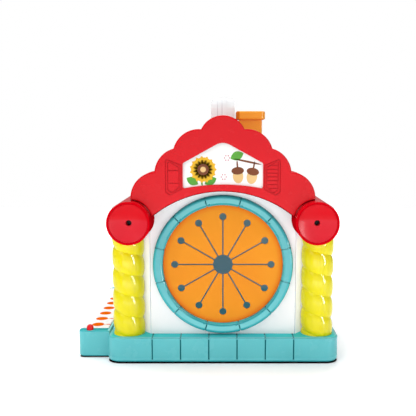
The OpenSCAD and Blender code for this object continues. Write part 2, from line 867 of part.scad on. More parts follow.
// The gable as it stands at the front: a lobed plate with a skirt back to the wall
module gable_form() {
    color([0.88, 0.19, 0.23]) difference() {
        union() {
            difference() {
                along_y(-gable_y, -wall_y) difference() {
                    lobes_2d(0);
                    arch_2d(0);
                    rolls_2d(roll_r + fit);
                }
                along_y(gable_t - gable_y, 1 - wall_y) difference() {
                    lobes_2d(gable_t);
                    arch_2d(gable_t);
                }
                along_y(-gable_y - 1, gable_t - gable_y + 1) window_2d();
            }
            along_y(gable_t - gable_y - eps, gable_t + 2 * window_t - gable_y) window_studs_2d();
        }
        along_y(-gable_y - 1, shutter_cut - gable_y) {
            shutter_lines_2d(10);
            mirror([1, 0]) shutter_lines_2d(3);
        }
    }
}

module window_form() {
    lap = window_lap;
    color([0.97, 0.97, 0.96])
        along_y(gable_t - gable_y, gable_t + window_t - gable_y) difference() {
            polygon([
                [-window_half_w - lap, window_corner_z - lap], [window_half_w + lap, window_corner_z - lap],
                [window_half_w + lap, window_shoulder_z], [0, window_apex_z + lap],
                [-window_half_w - lap, window_shoulder_z]
            ]);
            arch_2d(gable_t + fit);
        }
}

// Turns a front piece to the back of the house
module at_rear() {
    rotate(180) children();
}

module eave_roll(s) {
    color([0.86, 0.15, 0.20]) translate([s * roll_x, 0, roll_z]) rotate([90, 0, 0]) {
        difference() {
            cylinder(r = roll_r, h = 2 * roll_half_l, center = true);
            cylinder(r = roll_r - roll_wall, h = 2 * roll_half_l + 1, center = true);
        }
        for (e = sides) difference() {
            translate([0, 0, e * (web_y - web_t / 2)])
                cylinder(r = roll_r - roll_wall + eps, h = web_t, center = true);
            translate([0, 0, e * web_y]) cylinder(r = screw_r + pilot_play, h = 4 * web_t, center = true);
        }
    }
}

// Places a turned piece at the end of a roll, its local z pointing out of the end
module at_roll_end(side, end) {
    translate([sides[side] * roll_x, sides[end] * roll_half_l, roll_z])
        rotate([-90 * sides[end], 0, 0]) children();
}

module roll_cap(side, end) {
    floor_z = -dish_depth - cap_plate;
    color([0.88, 0.17, 0.22]) at_roll_end(side, end) difference() {
        union() {
            intersection() {
                translate([0, 0, floor_z]) cylinder(r = cap_r, h = -floor_z - rim_step);
                translate([0, 0, dish_r - dish_depth]) sphere(dish_r + cap_plate);
            }
            translate([0, 0, floor_z - cap_boss_l]) cylinder(r = 2 * cap_hole_r, h = cap_boss_l + 1);
        }
        translate([0, 0, dish_r - dish_depth]) sphere(dish_r);
        translate([0, 0, floor_z - cap_boss_l + 2]) cylinder(r = cap_hole_r, h = cap_boss_l + cap_plate);
        translate([0, 0, floor_z - cap_boss_l - 1]) cylinder(r = screw_r + fit, h = 4);
    }
}

module roll_screws() {
    color("silver") for (c = corners) at_roll_end(c.x, c.y)
        translate([0, 0, -dish_depth - cap_plate - cap_boss_l + 2])
            rotate([180, 0, 0]) screw(2 + web_t);
}

module chimney_place() {
    translate([chimney_x, chimney_y - base_d / 2, 0]) children();
}

// The roof's outside, as a tool to seat what stands on it
module roof_tool() {
    along_y(-roof_half_l, roof_half_l) lobes_2d(roof_drop - fit / 3);
}

module chimney_stack() {
    color([0.92, 0.57, 0.20]) difference() {
        chimney_place() linear_extrude(cap_z) plan_2d(stack_w, stack_w, 2);
        roof_tool();
        translate([-base_w, -base_d, -1]) cube([2 * base_w, 2 * base_d, roll_z + roll_r]);
    }
}

module chimney_cap() {
    color([0.92, 0.57, 0.20]) chimney_place() translate([0, 0, cap_z]) difference() {
        rounded_block(cap_w, cap_w, cap_h, cap_corner_r, 2, 1.5);
        translate([0, 0, cap_h - 2]) linear_extrude(3) plan_2d(stack_w - 4, stack_w - 4, 3);
    }
}

module at_handle_screws() {
    for (s = sides)
        translate([0, s * (handle_l - handle_foot) / 2, peak_z - roof_drop - roof_t]) children();
}

// Side outline of the handle, (y, z), widened outwards by grow
module handle_side_2d(grow) {
    low = peak_z - roof_drop - 10;
    half = handle_l / 2 + grow;
    top = handle_top_z - rib_h + grow;
    difference() {
        polygon(rounded([[-half, low], [half, low], [half, top], [-half, top]], [1, 1, 14, 14]));
        polygon(rounded([
            [handle_foot - handle_l / 2, low - 9], [handle_l / 2 - handle_foot, low - 9],
            [handle_l / 2 - handle_foot, handle_top_z - grip_t],
            [handle_foot - handle_l / 2, handle_top_z - grip_t]
        ], [1, 1, 8, 8]));
    }
}

module carry_handle() {
    low = peak_z - roof_drop - 10;
    color([0.96, 0.96, 0.96]) difference() {
        union() {
            intersection() {
                along_x(-handle_w / 2, handle_w / 2) handle_side_2d(0);
                translate([0, 0, low - 1]) along_y(-handle_l, handle_l)
                    crown_2d(handle_w, handle_top_z - rib_h - low + 1, 5);
            }
            along_x(-rib_w / 2, rib_w / 2) handle_side_2d(rib_h);
        }
        roof_tool();
        at_handle_screws() pilot(roof_t + screw_bite + 1);
    }
}

module handle_screws() {
    color("silver") at_handle_screws() screw(roof_t + screw_bite);
}

// Clear space for the keys, from z up
module key_space(x0, x1, z) {
    translate([x0, -keys_l / 2 - fit, z]) cube([x1 - x0, keys_l + 2 * fit, tray_top_z]);
}

module piano_tray() {
    color([0.40, 0.74, 0.77]) difference() {
        union() {
            difference() {
                translate([tray_x, 0, 0]) {
                    translate([0, 0, plinth_h])
                        rounded_block(2 * tray_w, tray_l, tray_top_z - plinth_h, tray_corner_r, 2, 2);
                    linear_extrude(tray_floor)
                        plan_2d(2 * (tray_w - plinth_inset), tray_l - 2 * plinth_inset, tray_corner_r / 2);
                }
                translate([tray_x, -base_d, -1]) cube([2 * tray_w, 2 * base_d, tray_top_z + 2]);
                key_space(tray_inner_x, tray_x - tray_wall, tray_floor);
                key_space(tray_edge_x - 1, tray_inner_x + eps, tray_lip_z);
            }
            for (sx = sides, y = [-1, 0, 1])
                translate([press_x + sx * board_post_x, y * (keys_l / 2 - 12), tray_floor - eps])
                    cylinder(r = board_post_r, h = board_z - tray_floor + eps);
            for (s = sides)
                translate([tray_x - tray_boss_l, s * tray_screw_y - tray_boss_w / 2, tray_floor - eps])
                    cube([tray_boss_l - tray_wall + eps, tray_boss_w,
                        tray_screw_z + tray_boss_w / 2 - tray_floor]);
        }
        translate([button_x - bay_w / 2, -tray_l / 2 + bay_wall, tray_floor])
            cube([bay_w, cheek_w, button_ceiling_z - tray_floor]);
        translate([button_x, button_y, button_ceiling_z - 1])
            cylinder(r = stem_r + rod_play, h = tray_top_z);
        translate([button_x, button_y, button_well_z]) cylinder(r = button_r + fit, h = tray_top_z);
        translate([rod_x, 0, rod_z]) rotate([90, 0, 0])
            cylinder(r = rod_r + rod_play / 2, h = keys_l + 2 * rod_seat + 2 * fit, center = true);
        for (s = sides)
            translate([tray_x, s * tray_screw_y, tray_screw_z]) rotate([0, -90, 0]) pilot(short_bite + 2);
    }
}

module tray_screws() {
    color("silver") for (s = sides)
        translate([tray_x + base_wall, s * tray_screw_y, tray_screw_z])
            rotate([0, -90, 0]) screw(base_wall + short_bite + 1);
}

module key_rod() {
    color("silver") translate([rod_x, 0, rod_z]) rotate([90, 0, 0])
        cylinder(r = rod_r, h = keys_l + 2 * rod_seat, center = true);
}

// Middle of key k, counted from the front
function key_y(k) = (k - (key_count + 1) / 2) * key_pitch;

module key(k) {
    key_w = key_pitch - key_gap;
    block_x = rod_x - rod_r - 3;
    nose_r = 3;
    color([0.97, 0.97, 0.97]) translate([0, key_y(k), 0]) difference() {
        union() {
            difference() {
                intersection() {
                    along_y(-key_w / 2, key_w / 2) {
                        translate([key_edge_x, key_lip_z])
                            square([key_end_x - key_edge_x, key_h - nose_r]);
                        translate([key_edge_x + nose_r, key_lip_z])
                            square([key_end_x - key_edge_x - nose_r, key_h]);
                        translate([key_edge_x + nose_r, key_top_z - nose_r]) circle(nose_r);
                    }
                    translate([0, 0, key_lip_z]) along_x(key_edge_x - 1, key_end_x + 1)
                        crown_2d(key_w, key_h, 1.6);
                }
                translate([key_edge_x + key_wall, key_wall - key_w / 2, key_lip_z - 1])
                    cube([block_x - key_edge_x - key_wall, key_w - 2 * key_wall, key_h - key_wall + 1]);
            }
            translate([press_x - 2, -3, press_z]) cube([4, 6, key_top_z - key_wall - press_z + eps]);
        }
        translate([rod_x, 0, rod_z]) rotate([90, 0, 0])
            cylinder(r = rod_r + rod_play, h = key_pitch, center = true);
    }
}

module mode_button() {
    color([0.88, 0.10, 0.14]) translate([button_x, button_y, 0]) {
        translate([0, 0, button_seat_z]) rotate_extrude() {
            square([button_r, button_skirt]);
            translate([0, button_skirt]) intersection() {
                circle(button_r);
                square(button_r);
            }
        }
        translate([0, 0, stem_z]) cylinder(r = stem_r, h = button_seat_z - stem_z + eps);
        translate([0, 0, button_ceiling_z - fit - 1.5]) cylinder(r = stem_r + 0.7, h = 1.5);
    }
}

module button_switch() {
    switch_w = 2 * stem_r + 1;
    body_h = 3.6;
    color("black") translate([button_x, button_y, board_top_z]) {
        translate([-switch_w / 2, -switch_w / 2, 0]) cube([switch_w, switch_w, body_h]);
        cylinder(r = 1.7, h = stem_z - button_travel - fit - board_top_z);
    }
}

module circuit_board() {
    color("darkgreen") {
        translate([press_x - board_w / 2, 2 - keys_l / 2, board_z])
            cube([board_w, keys_l - 4, board_t]);
        translate([button_x - bay_w / 2 + 1, bay_wall + 0.5 - tray_l / 2, board_z])
            cube([bay_w - 2, cheek_w, board_t]);
    }
}

module contact_strip() {
    strip_w = 18;
    color("dimgray") {
        translate([press_x - strip_w / 2, 3 - keys_l / 2, board_top_z])
            cube([strip_w, keys_l - 6, strip_t]);
        for (k = [1:key_count]) translate([press_x, key_y(k), board_top_z]) {
            cylinder(r1 = 6, r2 = 4, h = dome_z - board_top_z - 1);
            cylinder(r = 3.4, h = dome_z - board_top_z);
        }
    }
}

base_shell();
base_cover();
front_wall();
rear_wall();
left_wall();
right_wall();
for (c = corners) {
    corner = str(end_names[c.y], "_", side_names[c.x]);
    column(c.x, c.y);
    corner_post(c.x, c.y);
    roll_cap(c.x, c.y);
}
brick_ring();
slit_membrane();
roof_shell();
gable_form();  // front_gable
at_rear() gable_form();  // rear_gable
window_form();  // front_window
at_rear() window_form();  // rear_window
eave_roll(-1);  // eave_roll_left
eave_roll(1);  // eave_roll_right
chimney_stack();
chimney_cap();
carry_handle();
piano_tray();
key_rod();
for (k = [1:key_count]) key(k);
mode_button();
button_switch();
contact_strip();
circuit_board();
speaker();
battery_cells();
battery_hatch();
base_screws();
column_screws();
ring_screws();
roll_screws();
handle_screws();
tray_screws();
hatch_screw();
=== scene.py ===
"""Dressed model of a toddler activity house: glossy moulded plastic, a slit rubber disc and a keyboard."""
import json
import math

import bmesh
import bpy
from mathutils import Matrix, Vector


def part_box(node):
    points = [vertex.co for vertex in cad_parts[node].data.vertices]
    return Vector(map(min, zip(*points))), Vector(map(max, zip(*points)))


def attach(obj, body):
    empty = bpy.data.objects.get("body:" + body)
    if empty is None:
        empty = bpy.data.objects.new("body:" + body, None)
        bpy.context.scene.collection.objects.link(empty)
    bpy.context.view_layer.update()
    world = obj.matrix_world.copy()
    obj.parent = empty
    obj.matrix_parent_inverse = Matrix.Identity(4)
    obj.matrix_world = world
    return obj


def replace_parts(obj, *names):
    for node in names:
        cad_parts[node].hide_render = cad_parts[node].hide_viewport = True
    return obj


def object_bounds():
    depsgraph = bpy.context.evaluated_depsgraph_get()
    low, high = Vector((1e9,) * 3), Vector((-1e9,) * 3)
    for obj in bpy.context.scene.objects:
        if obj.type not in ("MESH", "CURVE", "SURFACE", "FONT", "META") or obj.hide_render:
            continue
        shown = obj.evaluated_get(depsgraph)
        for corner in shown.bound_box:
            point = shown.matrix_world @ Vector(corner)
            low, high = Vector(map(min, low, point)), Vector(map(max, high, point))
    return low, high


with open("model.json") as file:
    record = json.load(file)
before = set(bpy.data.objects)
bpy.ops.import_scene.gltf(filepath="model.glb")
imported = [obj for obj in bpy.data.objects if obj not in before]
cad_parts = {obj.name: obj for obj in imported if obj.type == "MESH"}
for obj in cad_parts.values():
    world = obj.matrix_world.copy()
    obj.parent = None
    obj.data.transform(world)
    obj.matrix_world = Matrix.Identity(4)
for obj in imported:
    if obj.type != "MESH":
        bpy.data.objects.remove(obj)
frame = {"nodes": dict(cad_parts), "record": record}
CAD_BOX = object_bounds()
NODES = frame["nodes"]
MM = 0.001
HOUSE = "house"

# Places that the solids give
BODY_LOW, BODY_HIGH = CAD_BOX
BASE_LOW, BASE_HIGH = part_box("base_shell")
DISC_LOW, DISC_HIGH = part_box("slit_membrane")
DISC_CENTRE = (DISC_LOW + DISC_HIGH) / 2
DISC_R = (DISC_HIGH.x - DISC_LOW.x) / 2
RING_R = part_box("brick_ring")[1].x
ROLL_LOW, ROLL_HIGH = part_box("eave_roll_right")
ROLL_CENTRE = (ROLL_LOW + ROLL_HIGH) / 2
ROLL_R = (ROLL_HIGH.z - ROLL_LOW.z) / 2
PANEL_LOW, PANEL_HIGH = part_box("front_window")
STACK_LOW, STACK_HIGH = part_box("chimney_stack")
HANDLE_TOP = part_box("carry_handle")[1].z
WALL_INSIDE_X = abs(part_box("left_wall")[1].x)
WALL_INSIDE_Y = abs(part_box("front_wall")[1].y)
KEYS = sorted(n for n in NODES if n.startswith("key_") and n != "key_rod")
KEY_LOW, KEY_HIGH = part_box(KEYS[0])
KEY_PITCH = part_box(KEYS[1])[0].y - KEY_LOW.y

# Sizes that the solids have and their boxes don't give
RING_INNER_R = 76.2 * MM
CORNER_R = 17.5 * MM
PLATE_T = 3 * MM
FOOT_Z = 1.35 * MM
TOP_BAND = 3 * MM
SHUTTER_Z = PANEL_LOW.z + 22 * MM
SHUTTER_HALF_H = 30 * MM
SHUTTER_LAP = 4 * MM
SHUTTER_REACH = 20 * MM
WINDOW_SILL = 2 * MM
COLUMN_LEAD = 27 * MM
COLUMN_GROOVE = 2.6 * MM
COLUMN_GROOVE_POWER = 3
COLUMN_PHASE = math.radians(270)
COLUMN_FIT = 0.3 * MM

# Where the dressed pieces leave the solids
# The dark foot is painted contact shadow; these push its outline out from under the body.
FOOT_SHADOW_GROW = 3.3 * MM
FOOT_SHADOW_BAND = 4 * MM
FOOT_SHADOW_SLACK = 0.2 * MM
STACK_GROW = 1.2 * MM

# Roundings of the moulded edges
GABLE_OUTLINE = 2.2 * MM
ROLL_RIM = 1.2 * MM
ROUND = {
    "base_shell": 0.45 * MM, "base_cover": 0.35 * MM, "piano_tray": 0.5 * MM, "brick_ring": 0.45 * MM,
    "slit_membrane": 0.4 * MM, "roof_shell": 0.8 * MM, "carry_handle": 0.8 * MM, "mode_button": 0.3 * MM,
    "battery_hatch": 0.3 * MM, "chimney_stack": 0.5 * MM, "chimney_cap": 0.4 * MM,
    "gable": 0.3 * MM, "eave_roll": 0.4 * MM, "roll_cap": 0.5 * MM, "key": 0.4 * MM,
}
ROUND_STEPS = 3
OUTLINE_STEPS = 5
SHARP_EDGE = math.radians(35)
CREASE = math.radians(40)
TWIST_CREASE = math.radians(60)
COLUMN_SECTION = 96
COLUMN_STEPS_PER_TURN = 40
SADDLE_SEGMENTS = 128

# Tolerances, and how far a face's normal points along an axis
MERGE_GAP = 0.002 * MM
MERGE_ANGLE = math.radians(0.5)
ON_PLANE = 0.05 * MM
ON_BOX = 0.1 * MM
ON_WALL = 0.2 * MM
FLAT = 0.98
LEVEL = 0.9
UPRIGHT = 0.2
ALONG_RING = 0.5
LEANS_UP = 0.1
LEANS_DOWN = -0.5
LEANS_LEFT = -0.25
ROLL_TOP_RISE = 0.3

# Colours and light
STUDIO_LIGHT = 1.2
NO_LIGHT = (0, 0, 0, 1)
FULL_LIGHT = (1, 1, 1, 1)
FLOW_RANGE = (0.35, 0.65)
MARK_RANGE = (0.3, 0.7)
GRAIN_HEIGHT = 0.01 * MM
GRAIN_STRENGTH = 0.5


def srgb(red, green, blue):
    """Scene-linear colour of an 8-bit display colour."""
    def linear(level):
        c = level / 255
        return c / 12.92 if c <= 0.04045 else ((c + 0.055) / 1.055) ** 2.4
    return (linear(red), linear(green), linear(blue), 1.0)


def shown(red, green, blue):
    """Base colour that comes out as this 8-bit colour under the studio's light."""
    return tuple(c / STUDIO_LIGHT for c in srgb(red, green, blue)[:3]) + (1.0,)


# Shader node groups

def feed(tree, socket, amount):
    """Links another node's socket to an input, or sets the input to a plain value."""
    if isinstance(amount, bpy.types.NodeSocket):
        tree.links.new(amount, socket)
    else:
        socket.default_value = amount


def new_group(name, inputs, outputs):
    """An empty shader group with named sockets, its input node and its output node."""
    group = bpy.data.node_groups.new(name, "ShaderNodeTree")
    for label, kind, value in inputs:
        socket = group.interface.new_socket(label, in_out="INPUT", socket_type=kind)
        socket.default_value = value
    for label, kind in outputs:
        group.interface.new_socket(label, in_out="OUTPUT", socket_type=kind)
    return group, group.nodes.new("NodeGroupInput"), group.nodes.new("NodeGroupOutput")


def noise(tree, scale, detail, roughness=0.5):
    """Noise on Object coordinates, in turns per metre."""
    place = tree.nodes.new("ShaderNodeTexCoord")
    texture = tree.nodes.new("ShaderNodeTexNoise")
    tree.links.new(place.outputs["Object"], texture.inputs["Vector"])
    for label, amount in (("Scale", scale), ("Detail", detail), ("Roughness", roughness)):
        feed(tree, texture.inputs[label], amount)
    return texture.outputs["Fac"]


def spread(tree, value, low, high, to_low=0, to_high=1):
    """Maps a value from one range to another, held at its ends."""
    node = tree.nodes.new("ShaderNodeMapRange")
    for label, amount in (("Value", value), ("From Min", low), ("From Max", high),
                          ("To Min", to_low), ("To Max", to_high)):
        feed(tree, node.inputs[label], amount)
    return node.outputs["Result"]


def fade(tree, value, low, high):
    """A mask that is full up to the low value and gone past the high one."""
    return spread(tree, value, low, high, 1, 0)


def math_node(tree, operation, *amounts):
    """Result of one operation on sockets or plain values."""
    node = tree.nodes.new("ShaderNodeMath")
    node.operation = operation
    for socket, amount in zip(node.inputs, amounts):
        feed(tree, socket, amount)
    return node.outputs[0]


def mixed(tree, mask, first, second):
    """Colour between first and second by a mask."""
    node = tree.nodes.new("ShaderNodeMix")
    node.data_type = "RGBA"
    tree.links.new(mask, node.inputs["Factor"])
    for label, amount in (("A", first), ("B", second)):
        feed(tree, next(s for s in node.inputs if s.name == label and s.type == "RGBA"), amount)
    return next(s for s in node.outputs if s.type == "RGBA")


def moulded_surface_group():
    """Slow flow marks in the colour, handling marks in the gloss and the fine grain of a mould."""
    group, given, out = new_group(
        "moulded_surface",
        [("Colour", "NodeSocketColor", (1, 1, 1, 1)), ("Flow Colour", "NodeSocketColor", (1, 1, 1, 1)),
         ("Smooth", "NodeSocketFloat", 0.22), ("Dull", "NodeSocketFloat", 0.34),
         ("Grain Scale", "NodeSocketFloat", 1400.0)],
        [("Colour", "NodeSocketColor"), ("Roughness", "NodeSocketFloat"), ("Height", "NodeSocketFloat")])
    flow = spread(group, noise(group, scale=14, detail=3), *FLOW_RANGE)
    marks = noise(group, scale=60, detail=5, roughness=0.6)
    grain = noise(group, given.outputs["Grain Scale"], detail=2)
    group.links.new(mixed(group, flow, given.outputs["Colour"], given.outputs["Flow Colour"]),
                    out.inputs["Colour"])
    group.links.new(spread(group, marks, *MARK_RANGE, given.outputs["Smooth"], given.outputs["Dull"]),
                    out.inputs["Roughness"])
    group.links.new(grain, out.inputs["Height"])
    return group


MOULDED = moulded_surface_group()


def new_material(name):
    """A material with its tree, its Principled shader and nothing else."""
    material = bpy.data.materials.new(name)
    material.use_nodes = True
    tree = material.node_tree
    shader = next(n for n in tree.nodes if n.type == "BSDF_PRINCIPLED")
    return material, tree, shader


def moulded(name, colour, flow, gloss=(0.2, 0.3), grain=1400, coat=0.0, coat_gloss=0.08, shine=0.2):
    """Injection-moulded plastic or rubber. Returns the material, its tree, shader and colour socket."""
    material, tree, shader = new_material(name)
    skin = tree.nodes.new("ShaderNodeGroup")
    skin.node_tree = MOULDED
    for label, value in (("Colour", colour), ("Flow Colour", flow), ("Smooth", gloss[0]),
                         ("Dull", gloss[1]), ("Grain Scale", grain)):
        skin.inputs[label].default_value = value
    bump = tree.nodes.new("ShaderNodeBump")
    bump.inputs["Distance"].default_value = GRAIN_HEIGHT
    bump.inputs["Strength"].default_value = GRAIN_STRENGTH
    tree.links.new(skin.outputs["Colour"], shader.inputs["Base Color"])
    tree.links.new(skin.outputs["Roughness"], shader.inputs["Roughness"])
    tree.links.new(skin.outputs["Height"], bump.inputs["Height"])
    tree.links.new(bump.outputs["Normal"], shader.inputs["Normal"])
    shader.inputs["Specular IOR Level"].default_value = shine
    shader.inputs["Coat Weight"].default_value = coat
    shader.inputs["Coat Roughness"].default_value = coat_gloss
    return material, tree, shader, skin.outputs["Colour"]


def plain(name, colour, flow, **finish):
    """A moulded material in one colour, with nothing more on it."""
    return moulded(name, colour, flow, **finish)[0]


def tint(tree, shader, mask, colour, other):
    """Gives a shader a base colour that changes to another by a mask."""
    tree.links.new(mixed(tree, mask, colour, other), shader.inputs["Base Color"])


def glow(tree, shader, mask, dim, bright, strength=1.0):
    """Gives a shader a light of its own, from dim to bright by a mask."""
    tree.links.new(mixed(tree, mask, dim, bright), shader.inputs["Emission Color"])
    shader.inputs["Emission Strength"].default_value = strength


def axes(tree):
    """Object coordinates as three separate sockets."""
    place = tree.nodes.new("ShaderNodeTexCoord")
    split = tree.nodes.new("ShaderNodeSeparateXYZ")
    tree.links.new(place.outputs["Object"], split.inputs["Vector"])
    return split.outputs["X"], split.outputs["Y"], split.outputs["Z"]


def distance(tree, value, place):
    """How far a coordinate is from a place, on either side."""
    return math_node(tree, "ABSOLUTE", math_node(tree, "SUBTRACT", value, place))


def length_of(tree, first, second):
    """Length of the plane vector with these two sides."""
    sides = [math_node(tree, "MULTIPLY", s, s) for s in (first, second)]
    return math_node(tree, "SQRT", math_node(tree, "ADD", *sides))


# Materials in one colour

# A lit and a shaded copy of one teal, for flat sides and for roundings: the deeper one is painted shade.
TEAL = plain("teal_plastic", shown(96, 194, 200), shown(90, 188, 195), coat=0.15)
TEAL_EDGE_SHADE = plain("teal_edge_shade", shown(56, 174, 182), shown(50, 168, 176), coat=0.4)
TEAL_COVER = plain("teal_cover", shown(100, 198, 204), shown(92, 190, 197), gloss=(0.3, 0.42))
# Painted shade in the joints between the bricks.
TEAL_GROOVE_SHADE = plain("teal_groove_shade", shown(24, 122, 130), shown(18, 114, 122), gloss=(0.4, 0.5), shine=0.05)
# Near black on the plinth's faces: painted contact shadow under the base and the tray.
FOOT_SHADOW = plain("painted_foot_shadow", srgb(14, 13, 17), srgb(8, 8, 11), gloss=(0.6, 0.7), shine=0.0)
YELLOW = plain("yellow_plastic", shown(235, 224, 5), shown(231, 219, 3), gloss=(0.3, 0.36), coat=0.5,
               coat_gloss=0.04, shine=0.05)
ORANGE = plain("orange_plastic", shown(252, 169, 50), shown(248, 163, 44), coat=0.1, shine=0.1)
# Painted shade on the left faces of the chimney cap.
ORANGE_PAINTED_SHADE = plain("orange_painted_shade", shown(220, 122, 28), shown(214, 116, 24), shine=0.05)
RED = plain("red_plastic", shown(218, 16, 30), shown(214, 12, 26), coat=0.05, shine=0.15)
# Painted shade: a deeper copy of the red for the gable's roundings.
RED_EDGE_SHADE = plain("red_edge_shade", shown(214, 6, 22), shown(210, 4, 19), gloss=(0.35, 0.45), shine=0.05)
# Painted shadow along the underside of the gable's arch.
RED_SHADE = plain("red_shade", shown(128, 8, 20), shown(120, 5, 16), gloss=(0.5, 0.6), shine=0.0)
# A copy of the red for the faces in the shutter lines, one of the same lit and shaded copies.
RED_LINE = plain("red_line", shown(214, 24, 37), shown(210, 20, 33), gloss=(0.35, 0.45), shine=0.1)
# Copies of the roll's red: a glossy one on its top, a deeper matte one on its sides as painted shade.
RED_ROLL = plain("red_roll", shown(214, 8, 24), shown(210, 6, 21), gloss=(0.24, 0.3), shine=0.3)
RED_ROLL_SHADE = plain("red_roll_shade", shown(208, 5, 22), shown(204, 4, 19), gloss=(0.45, 0.55), shine=0.0)
ROOF_RED = plain("roof_red", shown(224, 22, 34), shown(219, 18, 30), gloss=(0.32, 0.36), coat=0.15)
BUTTON_RED = plain("button_red", shown(218, 8, 20), shown(212, 6, 17), gloss=(0.1, 0.16), coat=0.25,
                   shine=0.1)
PANEL = plain("printed_panel", shown(254, 254, 253), shown(250, 251, 250), gloss=(0.3, 0.4))
RUBBER_DARK = plain("dark_rubber", srgb(52, 54, 58), srgb(44, 46, 50), gloss=(0.55, 0.7))
BOARD = plain("board_green", srgb(38, 112, 66), srgb(30, 98, 58), gloss=(0.35, 0.5))
BLACK = plain("black_plastic", srgb(34, 34, 36), srgb(28, 28, 30), gloss=(0.4, 0.55))
CELL = plain("cell_jacket", srgb(196, 140, 62), srgb(180, 124, 52), gloss=(0.25, 0.35))
BLACK_SCREW = plain("blackened_steel", srgb(30, 24, 24), srgb(22, 18, 18), gloss=(0.4, 0.55))
PRINT_INKS = [
    plain(name, shown(*colour), shown(*flow), gloss=(0.4, 0.5)) for name, colour, flow in (
        ("petal_ink", (240, 190, 36), (236, 180, 26)),
        ("bark_ink", (126, 66, 32), (114, 58, 26)),
        ("nut_ink", (236, 200, 138), (230, 190, 126)),
        ("leaf_ink", (96, 172, 62), (82, 160, 50)),
        ("berry_ink", (206, 92, 116), (196, 80, 104)))]
PETAL, BARK, NUT, LEAF, BERRY = range(len(PRINT_INKS))


# Materials that change over the surface

EAVES_GLOW_RANGE = (ROLL_LOW.z - 15 * MM, ROLL_HIGH.z)
HANDLE_TOP_SHADE = (HANDLE_TOP - 13 * MM, HANDLE_TOP - 5 * MM)
HANDLE_SHADE_LINES = (-7.2 * MM, -1.2 * MM)
HANDLE_SHADE_LINE_EDGE = (0.4 * MM, 0.7 * MM)
CORNER_GLOW_RISE = (BASE_HIGH.z, ROLL_CENTRE.z)
DECK_RIM_HIGHLIGHT = (2 * MM, 6 * MM)
TRAY_RAIL_LIGHT = (BASE_LOW.x - 3 * MM, BASE_LOW.x - 1.5 * MM)
DISC_SHADE = (0.86 * DISC_R, 0.945 * DISC_R)
RING_PAINTED_LIGHT = (0.3 * RING_R, 0.95 * RING_R)
RING_SLOPE_SHADE = (RING_R - 4.6 * MM, RING_R - 3.4 * MM)
RING_LIP_SHADE = (RING_INNER_R + 0.8 * MM, RING_INNER_R + 1.6 * MM)
DISH_REFLECTION_LINE = (ROLL_CENTRE.z + 3 * MM, ROLL_CENTRE.z + 5.5 * MM)


def inner_wall():
    """Inner faces of the white walls: painted shade in blue-grey and a dim painted glow for the light
    inside.
    """
    material, tree, shader, _ = moulded(
        "wall_inside", shown(196, 206, 210), shown(188, 199, 204), gloss=(0.5, 0.65))
    painted_glow_flow = spread(tree, noise(tree, scale=9, detail=1), *FLOW_RANGE)
    glow(tree, shader, painted_glow_flow, srgb(60, 95, 101), srgb(76, 105, 116), strength=0.62)
    return material


def wall_white():
    """White of the walls, with a painted glow near their tops, under the eaves, against the shade there."""
    material, tree, shader, _ = moulded(
        "white_wall", shown(249, 250, 251), shown(245, 247, 248), gloss=(0.3, 0.4), shine=0.1)
    _, _, z = axes(tree)
    glow(tree, shader, spread(tree, z, *EAVES_GLOW_RANGE), NO_LIGHT, srgb(134, 148, 150))
    return material


def handle_white():
    """White of the handle, with painted shade along its top and in two upright lines."""
    material, tree, shader, colour = moulded(
        "white_plastic", shown(248, 255, 255), shown(245, 253, 254), coat=0.1)
    x, _, z = axes(tree)
    lines = [fade(tree, distance(tree, x, at), *HANDLE_SHADE_LINE_EDGE) for at in HANDLE_SHADE_LINES]
    body = mixed(tree, spread(tree, z, *HANDLE_TOP_SHADE), colour, shown(225, 226, 228))
    tint(tree, shader, math_node(tree, "MAXIMUM", *lines), body, shown(214, 217, 220))
    return material


def corner_white():
    """White of the slanted corners, with a painted glow that grows towards the eaves."""
    material, tree, shader, _ = moulded(
        "corner_white", shown(244, 246, 253), shown(240, 243, 250), gloss=(0.3, 0.4), shine=0.1)
    _, _, z = axes(tree)
    glow(tree, shader, spread(tree, z, *CORNER_GLOW_RISE), srgb(116, 120, 134), srgb(148, 152, 166))
    return material


def deck_plastic():
    """Finely textured teal of the deck, a copy set for the light on top faces, with a painted highlight at
    its rim and a dim painted glow inside the house.
    """
    material, tree, shader, colour = moulded(
        "teal_deck", shown(72, 216, 221), shown(67, 210, 216), gloss=(0.5, 0.6), shine=0.05)
    x, y, _ = axes(tree)
    x, y = (math_node(tree, "ABSOLUTE", side) for side in (x, y))
    inside = math_node(tree, "MULTIPLY", math_node(tree, "LESS_THAN", x, WALL_INSIDE_X),
                       math_node(tree, "LESS_THAN", y, WALL_INSIDE_Y))
    inset = math_node(tree, "MINIMUM", math_node(tree, "SUBTRACT", BASE_HIGH.x, x),
                      math_node(tree, "SUBTRACT", BASE_HIGH.y, y))
    tint(tree, shader, fade(tree, inset, *DECK_RIM_HIGHLIGHT), colour, shown(144, 216, 228))
    # Painted glow inside the walls, standing in for the light inside the house.
    glow(tree, shader, inside, NO_LIGHT, srgb(58, 92, 104), strength=0.7)
    return material


def tray_plastic():
    """A deeper copy of the teal for the keyboard's rim, as painted shade, with painted light on the rail
    beside the house, where the house shades it.
    """
    material, tree, shader, colour = moulded(
        "tray_teal", shown(56, 176, 180), shown(50, 170, 174), gloss=(0.5, 0.6), shine=0.0)
    x, _, _ = axes(tree)
    tint(tree, shader, spread(tree, x, *TRAY_RAIL_LIGHT), colour, shown(170, 246, 250))
    return material


def disc_rubber():
    """Soft orange rubber, with painted shade where it goes under the ring."""
    material, tree, shader, colour = moulded(
        "orange_rubber", shown(232, 146, 27), shown(228, 139, 24), gloss=(0.42, 0.55), grain=900, shine=0.1)
    x, _, z = axes(tree)
    reach = length_of(tree, x, math_node(tree, "SUBTRACT", z, DISC_CENTRE.z))
    tint(tree, shader, spread(tree, reach, *DISC_SHADE), colour, shown(228, 110, 10))
    return material


